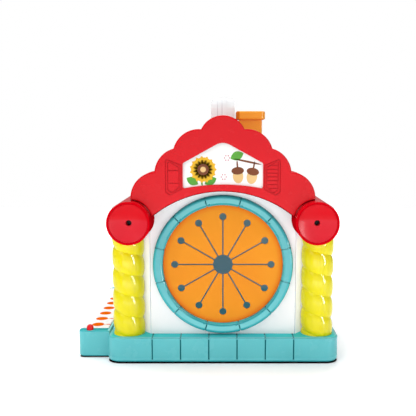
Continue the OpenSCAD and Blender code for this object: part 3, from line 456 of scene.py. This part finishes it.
def ring_plastic():
    """Teal of the ring, with painted light above and below and painted shade on its outer slope and along
    its inner edge.
    """
    material, tree, shader, colour = moulded(
        "ring_teal", shown(84, 178, 184), shown(79, 173, 180), coat=0.15)
    x, _, z = axes(tree)
    rise = math_node(tree, "SUBTRACT", z, DISC_CENTRE.z)
    lit = spread(tree, math_node(tree, "ABSOLUTE", rise), *RING_PAINTED_LIGHT)
    colour = mixed(tree, lit, colour, shown(116, 206, 211))
    reach = length_of(tree, x, rise)
    edges = math_node(tree, "MAXIMUM", spread(tree, reach, *RING_SLOPE_SHADE), fade(tree, reach, *RING_LIP_SHADE))
    tint(tree, shader, edges, colour, shown(62, 176, 184))
    return material


def dish_plastic():
    """Red of the dished roll ends, a little paler on the lower half, which faces up to the light: a painted
    reflection.
    """
    material, tree, shader, colour = moulded(
        "red_dish", shown(217, 20, 33), shown(213, 16, 29), gloss=(0.3, 0.36), coat=0.05, coat_gloss=0.18,
        shine=0.05)
    _, _, z = axes(tree)
    tint(tree, shader, fade(tree, z, *DISH_REFLECTION_LINE), colour, shown(214, 38, 51))
    return material


def steel():
    """Zinc-plated steel with a fine brushed grain."""
    material, tree, shader = new_material("steel")
    grain = noise(tree, scale=700, detail=4)
    tint(tree, shader, grain, srgb(170, 172, 175), srgb(205, 206, 208))
    tree.links.new(spread(tree, grain, *MARK_RANGE, 0.25, 0.42), shader.inputs["Roughness"])
    shader.inputs["Metallic"].default_value = 1.0
    return material


# Print of the keys: a dot, a thin wavy stem and a small drop
KEY_DOT_X = KEY_LOW.x + 20.2 * MM
KEY_DOT_R = 8 * MM
KEY_STEM_HALF_W = 0.7 * MM
KEY_STEM_SWAY = 0.9 * MM
KEY_STEM_WAVE = 520
KEY_DROP_X = KEY_HIGH.x - 1.8 * MM
KEY_DROP_R = 1.7 * MM
KEY_DROP_SQUEEZE = 0.45
KEY_INK_EDGE = 0.25 * MM
KEY_INK_DEPTH = 0.4 * MM


def ink_mask(tree, reach, size):
    """A mask that is full where the reach is less than the size, with a narrow soft edge."""
    return fade(tree, reach, size - KEY_INK_EDGE, size + KEY_INK_EDGE)


def printed_keys():
    """White key plastic with an orange dot, a thin wavy stem and a small drop printed on each top."""
    material, tree, shader, colour = moulded(
        "key_plastic", shown(255, 255, 255), shown(252, 253, 254), shine=0.0)
    x, y, z = axes(tree)
    across = math_node(tree, "SUBTRACT", math_node(tree, "FLOORED_MODULO", y, KEY_PITCH), KEY_PITCH / 2)
    from_dot = length_of(tree, math_node(tree, "SUBTRACT", x, KEY_DOT_X), across)
    wave = math_node(tree, "SINE", math_node(tree, "MULTIPLY", x, KEY_STEM_WAVE))
    from_stem = distance(tree, across, math_node(tree, "MULTIPLY", wave, KEY_STEM_SWAY))
    stem = math_node(tree, "MULTIPLY", ink_mask(tree, from_stem, KEY_STEM_HALF_W),
                     math_node(tree, "GREATER_THAN", x, KEY_DOT_X))
    drop_along = math_node(tree, "MULTIPLY", math_node(tree, "SUBTRACT", x, KEY_DROP_X), KEY_DROP_SQUEEZE)
    drop = ink_mask(tree, length_of(tree, drop_along, across), KEY_DROP_R)
    dot_and_stem = math_node(tree, "MAXIMUM", ink_mask(tree, from_dot, KEY_DOT_R), stem)
    on_top = math_node(tree, "GREATER_THAN", z, KEY_HIGH.z - KEY_INK_DEPTH)
    inked = math_node(tree, "MULTIPLY", math_node(tree, "MAXIMUM", dot_and_stem, drop), on_top)
    tint(tree, shader, inked, colour, shown(234, 102, 4))
    return material


WHITE = handle_white()
WALL = wall_white()
WALL_INSIDE = inner_wall()
CORNER_WHITE = corner_white()
TEAL_DECK = deck_plastic()
TRAY_TEAL = tray_plastic()
RING_TEAL = ring_plastic()
RED_DISH = dish_plastic()
DISC_RUBBER = disc_rubber()
STEEL = steel()
KEY_PRINT = printed_keys()

SLOT_MATERIALS = {
    "teal_plastic": TEAL, "teal_cover": TEAL_COVER, "white_wall": WALL, "white_plastic": WHITE,
    "yellow_plastic": YELLOW, "orange_rubber": DISC_RUBBER, "orange_plastic": ORANGE, "red_plastic": RED,
    "roof_red": ROOF_RED, "printed_panel": PANEL, "button_red": BUTTON_RED, "dark_rubber": RUBBER_DARK,
    "board_green": BOARD, "black_plastic": BLACK, "cell_jacket": CELL, "steel": STEEL,
}
SLOT_OF = {part["node"]: part["material_slot"] for part in frame["record"]["subparts"]}
BODY_OF = {n: body for body, members in frame["record"]["behaviour"]["bodies"].items() for n in members}


# Tools that shape and colour a piece

def add_piece(name, bm, materials, body=HOUSE, flat_normals=True):
    """Puts a bmesh into the scene as a piece that rides on a body."""
    mesh = bpy.data.meshes.new(name)
    bm.to_mesh(mesh)
    bm.free()
    for material in materials:
        mesh.materials.append(material)
    piece = bpy.data.objects.new(name, mesh)
    bpy.context.scene.collection.objects.link(piece)
    if flat_normals:
        weighted = piece.modifiers.new("even_normals", "WEIGHTED_NORMAL")
        weighted.keep_sharp = True
        weighted.weight = 100
    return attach(piece, body)


def shade_smooth(bm, limit=CREASE):
    """Smooth faces, with a crease where two meet at more than the limit."""
    for face in bm.faces:
        face.smooth = True
    for edge in bm.edges:
        edge.smooth = len(edge.link_faces) == 2 and edge.calc_face_angle(0) < limit


def merged_copy(node):
    """A bmesh copy of a solid, with its loose triangles joined and its flat faces whole."""
    bm = bmesh.new()
    bm.from_mesh(NODES[node].data)
    bmesh.ops.remove_doubles(bm, verts=bm.verts, dist=MERGE_GAP)
    bmesh.ops.dissolve_limit(bm, angle_limit=MERGE_ANGLE, verts=bm.verts, edges=bm.edges)
    return bm


def round_edges(bm, width, segments, chosen=None):
    """Rounds the sharp edges, or the ones among them that are chosen."""
    sharp = [e for e in bm.edges if len(e.link_faces) == 2 and e.calc_face_angle(0) > SHARP_EDGE]
    if chosen:
        sharp = [e for e in sharp if chosen(e)]
    bmesh.ops.bevel(bm, geom=sharp, offset=width, offset_type="OFFSET", affect="EDGES", segments=segments,
                    profile=0.5, material=-1, clamp_overlap=not chosen)


def softened(node, width, materials=None, outline=None):
    """A copy of a solid with moulded edges. Outline is a (width, choice) for edges rounded first."""
    bm = merged_copy(node)
    if outline:
        round_edges(bm, outline[0], OUTLINE_STEPS, outline[1])
    if width:
        round_edges(bm, width, ROUND_STEPS)
    shade_smooth(bm)
    piece = add_piece(node + "_moulding", bm, materials or [SLOT_MATERIALS[SLOT_OF[node]]], BODY_OF[node])
    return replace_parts(piece, node)


def coloured_by(piece, choice, *more):
    """Adds materials to a piece and gives each of its faces the one that the choice numbers."""
    for material in more:
        piece.data.materials.append(material)
    for face in piece.data.polygons:
        face.material_index = int(choice(face))
    return piece


def carve(piece, cutter_bm):
    """Cuts a shape out of a piece and keeps the result as its mesh."""
    mesh = bpy.data.meshes.new("cutter")
    cutter_bm.to_mesh(mesh)
    cutter_bm.free()
    cutter = bpy.data.objects.new("cutter", mesh)
    bpy.context.scene.collection.objects.link(cutter)
    cut = piece.modifiers.new("cut", "BOOLEAN")
    cut.operation = "DIFFERENCE"
    cut.solver = "EXACT"
    cut.object = cutter
    bpy.context.view_layer.update()
    result = bpy.data.meshes.new_from_object(piece.evaluated_get(bpy.context.evaluated_depsgraph_get()))
    piece.modifiers.remove(cut)
    piece.data = result
    bpy.data.objects.remove(cutter)


def is_outer_flat(face, box):
    """True on a flat side that lies on the piece's own box, so on no rounding and in no groove."""
    return any(abs(face.normal[k]) > FLAT and abs(face.center[k] - corner[k]) < ON_BOX
               for corner in box for k in range(3))


def is_upright_corner(face, box):
    """True on the large rounding of an upright corner."""
    return abs(face.normal.z) < UPRIGHT and all(
        min(abs(face.center[k] - corner[k]) for corner in box) < CORNER_R for k in range(2))


# Columns

def saddle_of(roll_x):
    """The round cut in a column's top, in which the eave roll rests."""
    bm = bmesh.new()
    bmesh.ops.create_cone(bm, cap_ends=True, segments=SADDLE_SEGMENTS, radius1=ROLL_R + COLUMN_FIT,
                          radius2=ROLL_R + COLUMN_FIT, depth=ROLL_HIGH.y - ROLL_LOW.y)
    bmesh.ops.rotate(bm, verts=bm.verts, cent=(0, 0, 0), matrix=Matrix.Rotation(math.pi / 2, 3, "X"))
    bmesh.ops.translate(bm, verts=bm.verts, vec=(roll_x, 0, ROLL_CENTRE.z))
    return bm


def twisted_column(node):
    """A barley-twist column: one grooved section, screwed up to the roll that it carries."""
    low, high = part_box(node)
    centre = (low + high) / 2
    radius = (high.x - low.x) / 2
    turns = (high.z - low.z) / COLUMN_LEAD
    steps = round(COLUMN_STEPS_PER_TURN * turns)
    bm = bmesh.new()
    section = bmesh.ops.create_circle(bm, segments=COLUMN_SECTION, radius=radius)["verts"]
    for vert in section:
        angle = math.atan2(vert.co.y, vert.co.x) % math.tau
        depth = (abs(angle - math.pi) / math.pi) ** COLUMN_GROOVE_POWER
        vert.co *= (radius - COLUMN_GROOVE * depth) / radius
    bmesh.ops.rotate(bm, verts=bm.verts, cent=(0, 0, 0), matrix=Matrix.Rotation(COLUMN_PHASE, 3, "Z"))
    bmesh.ops.translate(bm, verts=bm.verts, vec=(centre.x, centre.y, low.z))
    bmesh.ops.spin(bm, geom=bm.verts[:] + bm.edges[:], cent=(centre.x, centre.y, 0), axis=(0, 0, 1),
                   dvec=(0, 0, (high.z - low.z) / steps), angle=-math.tau * turns, steps=steps)
    bmesh.ops.holes_fill(bm, edges=[e for e in bm.edges if e.is_boundary], sides=0)
    bmesh.ops.recalc_face_normals(bm, faces=bm.faces)
    shade_smooth(bm, TWIST_CREASE)
    piece = add_piece(node + "_moulding", bm, [YELLOW], flat_normals=False)
    carve(piece, saddle_of(math.copysign(ROLL_CENTRE.x, centre.x)))
    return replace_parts(piece, node)


# Gables and eave rolls

def near_shutter(place):
    """True beside the window, where the lines of the opened shutters are."""
    beside = PANEL_HIGH.x - SHUTTER_LAP < abs(place.x) < PANEL_HIGH.x + SHUTTER_REACH
    return beside and abs(place.z - SHUTTER_Z) < SHUTTER_HALF_H


def is_gable_outline(edge, face_y):
    """True on the outer edge of a gable's front plate, away from its window and shutters."""
    on_face = all(abs(v.co.y - face_y) < ON_PLANE for v in edge.verts)
    mid = (edge.verts[0].co + edge.verts[1].co) / 2
    in_window = abs(mid.x) < PANEL_HIGH.x and PANEL_LOW.z + WINDOW_SILL < mid.z < PANEL_HIGH.z
    return on_face and edge.is_convex and not in_window and not near_shutter(mid)


def gable(node):
    """A red gable with a rounded outline, painted shade on its edges, lined shutters and painted shadow on
    its underside.
    """
    low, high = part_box(node)
    face_y = low.y if low.y < 0 else high.y
    front, edge, line, underside_shadow = range(4)

    def finish(face):
        """Number of the material that a face of the gable gets."""
        if is_outer_flat(face, (low, high)):
            return front
        if face.normal.z < LEANS_DOWN:
            return underside_shadow
        return line if near_shutter(face.center) else edge

    piece = softened(node, ROUND["gable"], outline=(GABLE_OUTLINE, lambda e: is_gable_outline(e, face_y)))
    return coloured_by(piece, finish, RED_EDGE_SHADE, RED_LINE, RED_SHADE)


def is_roll_rim(edge):
    """True on the round edges at the two ends of a roll."""
    return all(abs(abs(v.co.y) - ROLL_HIGH.y) < ON_PLANE for v in edge.verts)


def is_roll_top(face):
    """True on the top of a roll, which shines, and not on its ends."""
    return face.normal.z > ROLL_TOP_RISE and abs(face.normal.y) < ROLL_TOP_RISE


def eave_roll(node):
    """A red roll that shines only along its top, with painted shade on its sides."""
    piece = softened(node, ROUND["eave_roll"], [RED_ROLL_SHADE], outline=(ROLL_RIM, is_roll_rim))
    return coloured_by(piece, is_roll_top, RED_ROLL)


# Base, tray and ring

def teal_body(node, is_groove, sides=None, deck=None):
    """Lighter flat sides, a textured deck, painted shade on the roundings and in the grooves, and painted
    contact shadow on the foot.
    """
    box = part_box(node)
    side, top, edge, foot_shadow, groove_shade = range(5)

    def finish(face):
        """Number of the material that a face of the body gets."""
        if face.center.z < FOOT_Z:
            return foot_shadow
        if deck and face.normal.x > LEVEL:
            return top
        if is_outer_flat(face, box) or is_upright_corner(face, box):
            return top if face.normal.z > LEVEL else side
        if is_groove(face):
            return groove_shade
        # The rounding along the top keeps the lighter side copy, so it gets no painted shade.
        if not sides and not deck and face.normal.z > LEANS_UP and face.center.z > box[1].z - TOP_BAND:
            return side
        return top if face.normal.z > LEVEL else edge

    piece = softened(node, ROUND[node], sides and [sides])
    coloured_by(piece, finish, deck or TEAL_DECK, TEAL_EDGE_SHADE, FOOT_SHADOW, TEAL_GROOVE_SHADE)
    return grow_foot_shadow(piece, box)


def grow_foot_shadow(piece, box):
    """Moves the outline of the dark foot outward, under the body that it carries: it is painted contact
    shadow.
    """
    low, high = box
    for vert in piece.data.vertices:
        if vert.co.z > FOOT_Z - FOOT_SHADOW_SLACK:
            continue
        inner = Vector([min(max(vert.co[k], low[k] + CORNER_R), high[k] - CORNER_R) for k in range(2)])
        away = vert.co.xy - inner
        if away.length > CORNER_R - FOOT_SHADOW_BAND:
            vert.co.xy += away.normalized() * FOOT_SHADOW_GROW
            vert.co.x = min(max(vert.co.x, BODY_LOW.x), BODY_HIGH.x)
    return piece


def is_base_groove(face):
    """True on the upright sides of the joints between the base's bricks."""
    return abs(face.normal.z) < UPRIGHT


def is_ring_groove(face):
    """True on the floor of a joint between two bricks and on its two sides, which face along the ring."""
    outward = Vector((face.center.x, face.center.z - DISC_CENTRE.z)).normalized()
    across = abs(outward.x * face.normal.x + outward.y * face.normal.z)
    return face.normal.y < -FLAT or (across < ALONG_RING and abs(face.normal.y) < LEVEL)


# Walls, corners and chimney

def wall(node):
    """A white panel whose inner faces get the blue-grey painted shade and painted glow of the inside."""
    return coloured_by(softened(node, 0), lambda face: (
        abs(face.center.x) < WALL_INSIDE_X + ON_WALL
        and abs(face.center.y) < WALL_INSIDE_Y + ON_WALL), WALL_INSIDE)


def corner_plate(node):
    """The slanted white corner beside a column, closed up to the wall and to the column's grooves."""
    piece = softened(node, 0, [CORNER_WHITE])
    low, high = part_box(node)
    inner, outer = sorted((abs(low.x), abs(high.x)))
    front, back = (abs(low.y), abs(high.y)) if low.y < 0 else (abs(high.y), abs(low.y))
    slope = (front - back - PLATE_T) / (outer - inner)
    for vert in piece.data.vertices:
        along = -COLUMN_FIT if abs(vert.co.x) < inner + ON_PLANE else COLUMN_GROOVE
        vert.co.x += math.copysign(along, vert.co.x)
        if along > 0:
            vert.co.y -= math.copysign(along * slope, vert.co.y)
    return piece


def chimney():
    """The stack, a little wider than the solid, and its cap, with painted shade on its left faces."""
    middle = (STACK_LOW.x + STACK_HIGH.x) / 2
    for vert in softened("chimney_stack", ROUND["chimney_stack"]).data.vertices:
        vert.co.x += math.copysign(STACK_GROW, vert.co.x - middle)
    cap = softened("chimney_cap", ROUND["chimney_cap"])
    coloured_by(cap, lambda face: face.normal.x < LEANS_LEFT, ORANGE_PAINTED_SHADE)


# Garden print in the windows: sizes in mm, and places in mm from the middle of the panel's top
INK_T = 0.08 * MM
INK_SEGMENTS = 32
SUNFLOWER_AT = (-24, -38)
STEM_AT, STEM_SIZE, STEM_TURN = (-2, -13), (1.2, 8), 8
STEM_LEAVES = ((-13, -14, 152), (9, -14, 26))
STEM_LEAF_SIZE = (8, 5)
PETALS = 15
PETAL_SIZE = (6, 3.4)
PETAL_ROWS = (10.5, 9)
HEART_SIZE = (6.8, 6.8)
SEED_SIZE = (3.4, 3.4)
TWIG_AT, TWIG_SIZE, TWIG_TURN = (30, -28.5), (17, 1.2), -12
TWIG_LEAF_AT, TWIG_LEAF_SIZE, TWIG_LEAF_TURN = (17, -21.5), (8.5, 5.5), 22
ACORNS = ((18, -41, 4), (36, -42, -10))
ACORN_PARTS = ((BARK, 9, (1, 5)), (NUT, -5, (6.4, 8.6)), (BARK, 1.5, (7.6, 4.6)))
BERRY_RINGS = ((5, -24), (1, -47))
BERRIES = 6
BERRY_SIZE = (0.75, 0.75)
BERRY_REACH = 3


def ink(bm, colour, layer, place, size, turn=0, pointed=False):
    """One flat patch of ink on the front panel: round, or pointed as a leaf is."""
    patch = bmesh.ops.create_cone(bm, cap_ends=True, segments=INK_SEGMENTS, radius1=1, radius2=1,
                                  depth=1)["verts"]
    for vert in patch:
        vert.co.y *= abs(vert.co.y) if pointed else 1
    bmesh.ops.scale(bm, verts=patch, vec=(size[0] * MM, size[1] * MM, INK_T))
    bmesh.ops.rotate(bm, verts=patch, matrix=Matrix.Rotation(math.radians(turn), 3, "Z"))
    bmesh.ops.rotate(bm, verts=patch, matrix=Matrix.Rotation(math.pi / 2, 3, "X"))
    bmesh.ops.translate(bm, verts=patch, vec=(place[0] * MM, PANEL_LOW.y - (layer + 0.5) * INK_T,
                                              PANEL_HIGH.z + place[1] * MM))
    for face in {f for v in patch for f in v.link_faces}:
        face.material_index = colour


def around(reach, degrees):
    """The place at this reach and angle from a middle."""
    return Vector((math.cos(math.radians(degrees)), math.sin(math.radians(degrees)))) * reach


def sunflower(bm, x, z):
    """A flower with two rows of pointed petals, a dark heart, a stem and two leaves."""
    ink(bm, LEAF, 0, (x + STEM_AT[0], z + STEM_AT[1]), STEM_SIZE, STEM_TURN)
    for across, up, turn in STEM_LEAVES:
        ink(bm, LEAF, 0, (x + across, z + up), STEM_LEAF_SIZE, turn, pointed=True)
    for row, reach in enumerate(PETAL_ROWS):
        for k in range(PETALS):
            turn = 360 * (k + row / 2) / PETALS
            away = around(reach, turn)
            ink(bm, PETAL, 1 + row, (x + away.x, z + away.y), PETAL_SIZE, turn, pointed=True)
    ink(bm, BARK, 3, (x, z), HEART_SIZE)
    ink(bm, NUT, 4, (x, z), SEED_SIZE)


def acorn(bm, x, z, turn):
    """An acorn that hangs: its stalk, its nut and the cup over the nut, each a layer further out."""
    down = Matrix.Rotation(math.radians(turn), 2)
    for layer, (colour, along, size) in enumerate(ACORN_PARTS):
        at = down @ Vector((0, along))
        ink(bm, colour, layer, (x + at.x, z + at.y), size, turn)


def berries(bm, x, z):
    """A small ring of berries."""
    for k in range(BERRIES):
        away = around(BERRY_REACH, 360 * k / BERRIES)
        ink(bm, BERRY, 0, (x + away.x, z + away.y), BERRY_SIZE)


def window_print(end, turn):
    """Garden print on a gable's panel: a sunflower, two acorns on a twig and two rings of berries."""
    bm = bmesh.new()
    sunflower(bm, *SUNFLOWER_AT)
    ink(bm, BARK, 0, TWIG_AT, TWIG_SIZE, TWIG_TURN)
    ink(bm, LEAF, 0, TWIG_LEAF_AT, TWIG_LEAF_SIZE, TWIG_LEAF_TURN, pointed=True)
    for place in ACORNS:
        acorn(bm, *place)
    for place in BERRY_RINGS:
        berries(bm, *place)
    bmesh.ops.rotate(bm, verts=bm.verts, matrix=Matrix.Rotation(turn, 3, "Z"))
    print_piece = add_piece(end + "_window_print", bm, PRINT_INKS, flat_normals=False)


# The whole house

window_print("front", 0)
window_print("rear", math.pi)
for end in ("front", "rear"):
    for side in ("left", "right"):
        twisted_column(f"column_{end}_{side}")
        softened(f"roll_cap_{end}_{side}", ROUND["roll_cap"], [RED_DISH])
        corner_plate(f"corner_post_{end}_{side}")
for node in ("front_wall", "rear_wall", "left_wall", "right_wall"):
    wall(node)
for node in ("front_gable", "rear_gable"):
    gable(node)
for node in ("eave_roll_left", "eave_roll_right"):
    eave_roll(node)
teal_body("base_shell", is_base_groove)
teal_body("base_cover", is_base_groove)
teal_body("piano_tray", is_base_groove, deck=TRAY_TEAL)
teal_body("brick_ring", is_ring_groove, sides=RING_TEAL)
for node in ("slit_membrane", "roof_shell", "carry_handle", "mode_button", "battery_hatch"):
    softened(node, ROUND[node])
chimney()
for node in KEYS:
    softened(node, ROUND["key"], [KEY_PRINT])
for node, cad in NODES.items():
    if not cad.hide_render:
        cad.data.materials.clear()
        cad.data.materials.append(BLACK_SCREW if node == "roll_screws" else SLOT_MATERIALS[SLOT_OF[node]])


# Stage

IMAGE_PX = 416
FOCAL_PX = 630
SENSOR_MM = 36
PRINCIPAL_PX = 222.9
CAMERA_TILT = 6.54
CAMERA_Y = BASE_LOW.y - 772 * MM
CAMERA_Z = 287 * MM
AIM = (0, 0, 0.16)
FLOOR_FRONT_Y = -0.42
FLOOR_HALF = 1
FLOOR_DROP = 0.3 * MM
FLOOR_ROUGHNESS = 0.6
FLOOR_GLOW_REACH = (0.15, 0.32)
FLOOR_GLOW = (0.02, 0.5)
SKY_TURN, SKY_LEVELS = (-0.1, 0.6), (0.55, 0.3)
SKY_DROP, SKY_BELOW = (-0.3, -0.1), (0.15, 1.0)


def add_camera():
    """The camera that was fitted to the photograph."""
    data = bpy.data.cameras.new("camera")
    data.sensor_width = SENSOR_MM
    data.lens = SENSOR_MM * FOCAL_PX / IMAGE_PX
    data.shift_x = (IMAGE_PX / 2 - PRINCIPAL_PX) / IMAGE_PX
    camera = bpy.data.objects.new("camera", data)
    camera.location = (0, CAMERA_Y, CAMERA_Z)
    camera.rotation_euler = (math.radians(90 - CAMERA_TILT), 0, 0)
    bpy.context.scene.collection.objects.link(camera)
    bpy.context.scene.camera = camera


def add_softbox(name, place, size, power, target=AIM, sparkle=False):
    """A soft light panel. A sparkle only shows in glossy surfaces and lights nothing."""
    data = bpy.data.lights.new(name, "AREA")
    data.shape = "RECTANGLE"
    data.size, data.size_y = size
    data.energy = power
    light = bpy.data.objects.new(name, data)
    light.location = place
    light.rotation_euler = (Vector(target) - Vector(place)).to_track_quat("-Z", "Y").to_euler()
    light.visible_diffuse = not sparkle
    bpy.context.scene.collection.objects.link(light)


def add_floor():
    """A white floor that takes the contact shadow and brightens away from the house."""
    bm = bmesh.new()
    bmesh.ops.create_grid(bm, x_segments=1, y_segments=1, size=FLOOR_HALF)
    bmesh.ops.translate(bm, verts=bm.verts, vec=(0, FLOOR_FRONT_Y + FLOOR_HALF, -FLOOR_DROP))
    mesh = bpy.data.meshes.new("floor")
    bm.to_mesh(mesh)
    bm.free()
    material, tree, shader = new_material("pale_floor")
    tint(tree, shader, noise(tree, scale=1.5, detail=2), srgb(251, 250, 251), srgb(253, 252, 253))
    shader.inputs["Roughness"].default_value = FLOOR_ROUGHNESS
    x, y, _ = axes(tree)
    out = math_node(tree, "MAXIMUM", math_node(tree, "ABSOLUTE", x), math_node(tree, "ABSOLUTE", y))
    glow(tree, shader, spread(tree, out, *FLOOR_GLOW_REACH, *FLOOR_GLOW), NO_LIGHT, FULL_LIGHT)
    mesh.materials.append(material)
    floor = bpy.data.objects.new("floor", mesh)
    bpy.context.scene.collection.objects.link(floor)


def add_world():
    """A white studio, dimmer behind the house and below the floor. To the camera it is plain white."""
    world = bpy.data.worlds.new("studio")
    world.use_nodes = True
    tree = world.node_tree
    background = next(n for n in tree.nodes if n.type == "BACKGROUND")
    split = tree.nodes.new("ShaderNodeSeparateXYZ")
    tree.links.new(tree.nodes.new("ShaderNodeTexCoord").outputs["Generated"], split.inputs["Vector"])
    level = spread(tree, split.outputs["Y"], *SKY_TURN, *SKY_LEVELS)
    above = spread(tree, split.outputs["Z"], *SKY_DROP, *SKY_BELOW)
    seen = tree.nodes.new("ShaderNodeLightPath").outputs["Is Camera Ray"]
    tree.links.new(math_node(tree, "MAXIMUM", math_node(tree, "MULTIPLY", level, above), seen),
                   background.inputs["Strength"])
    background.inputs["Color"].default_value = FULL_LIGHT
    bpy.context.scene.world = world


add_camera()
add_world()
add_floor()
add_softbox("front_left", place=(-1.5, -1.7, 1.6), size=(1.4, 1.4), power=12)
add_softbox("front_fill", place=(0, -3.2, 0.45), size=(4, 2.4), power=30)
add_softbox("low_fill", place=(0, -1.6, -0.3), size=(2.6, 0.5), power=12, target=(0, -0.12, 0.2))
add_softbox("right_strip", place=(2.38, -2.14, 0.9), size=(0.5, 3.0), power=210, sparkle=True)
add_softbox("overhead", place=(-0.3, -0.1, 2.3), size=(2, 2), power=40)
add_softbox("rear_high", place=(0.5, 2.2, 2.4), size=(1.6, 1.6), power=30)
bpy.context.scene.view_settings.view_transform = "Standard"
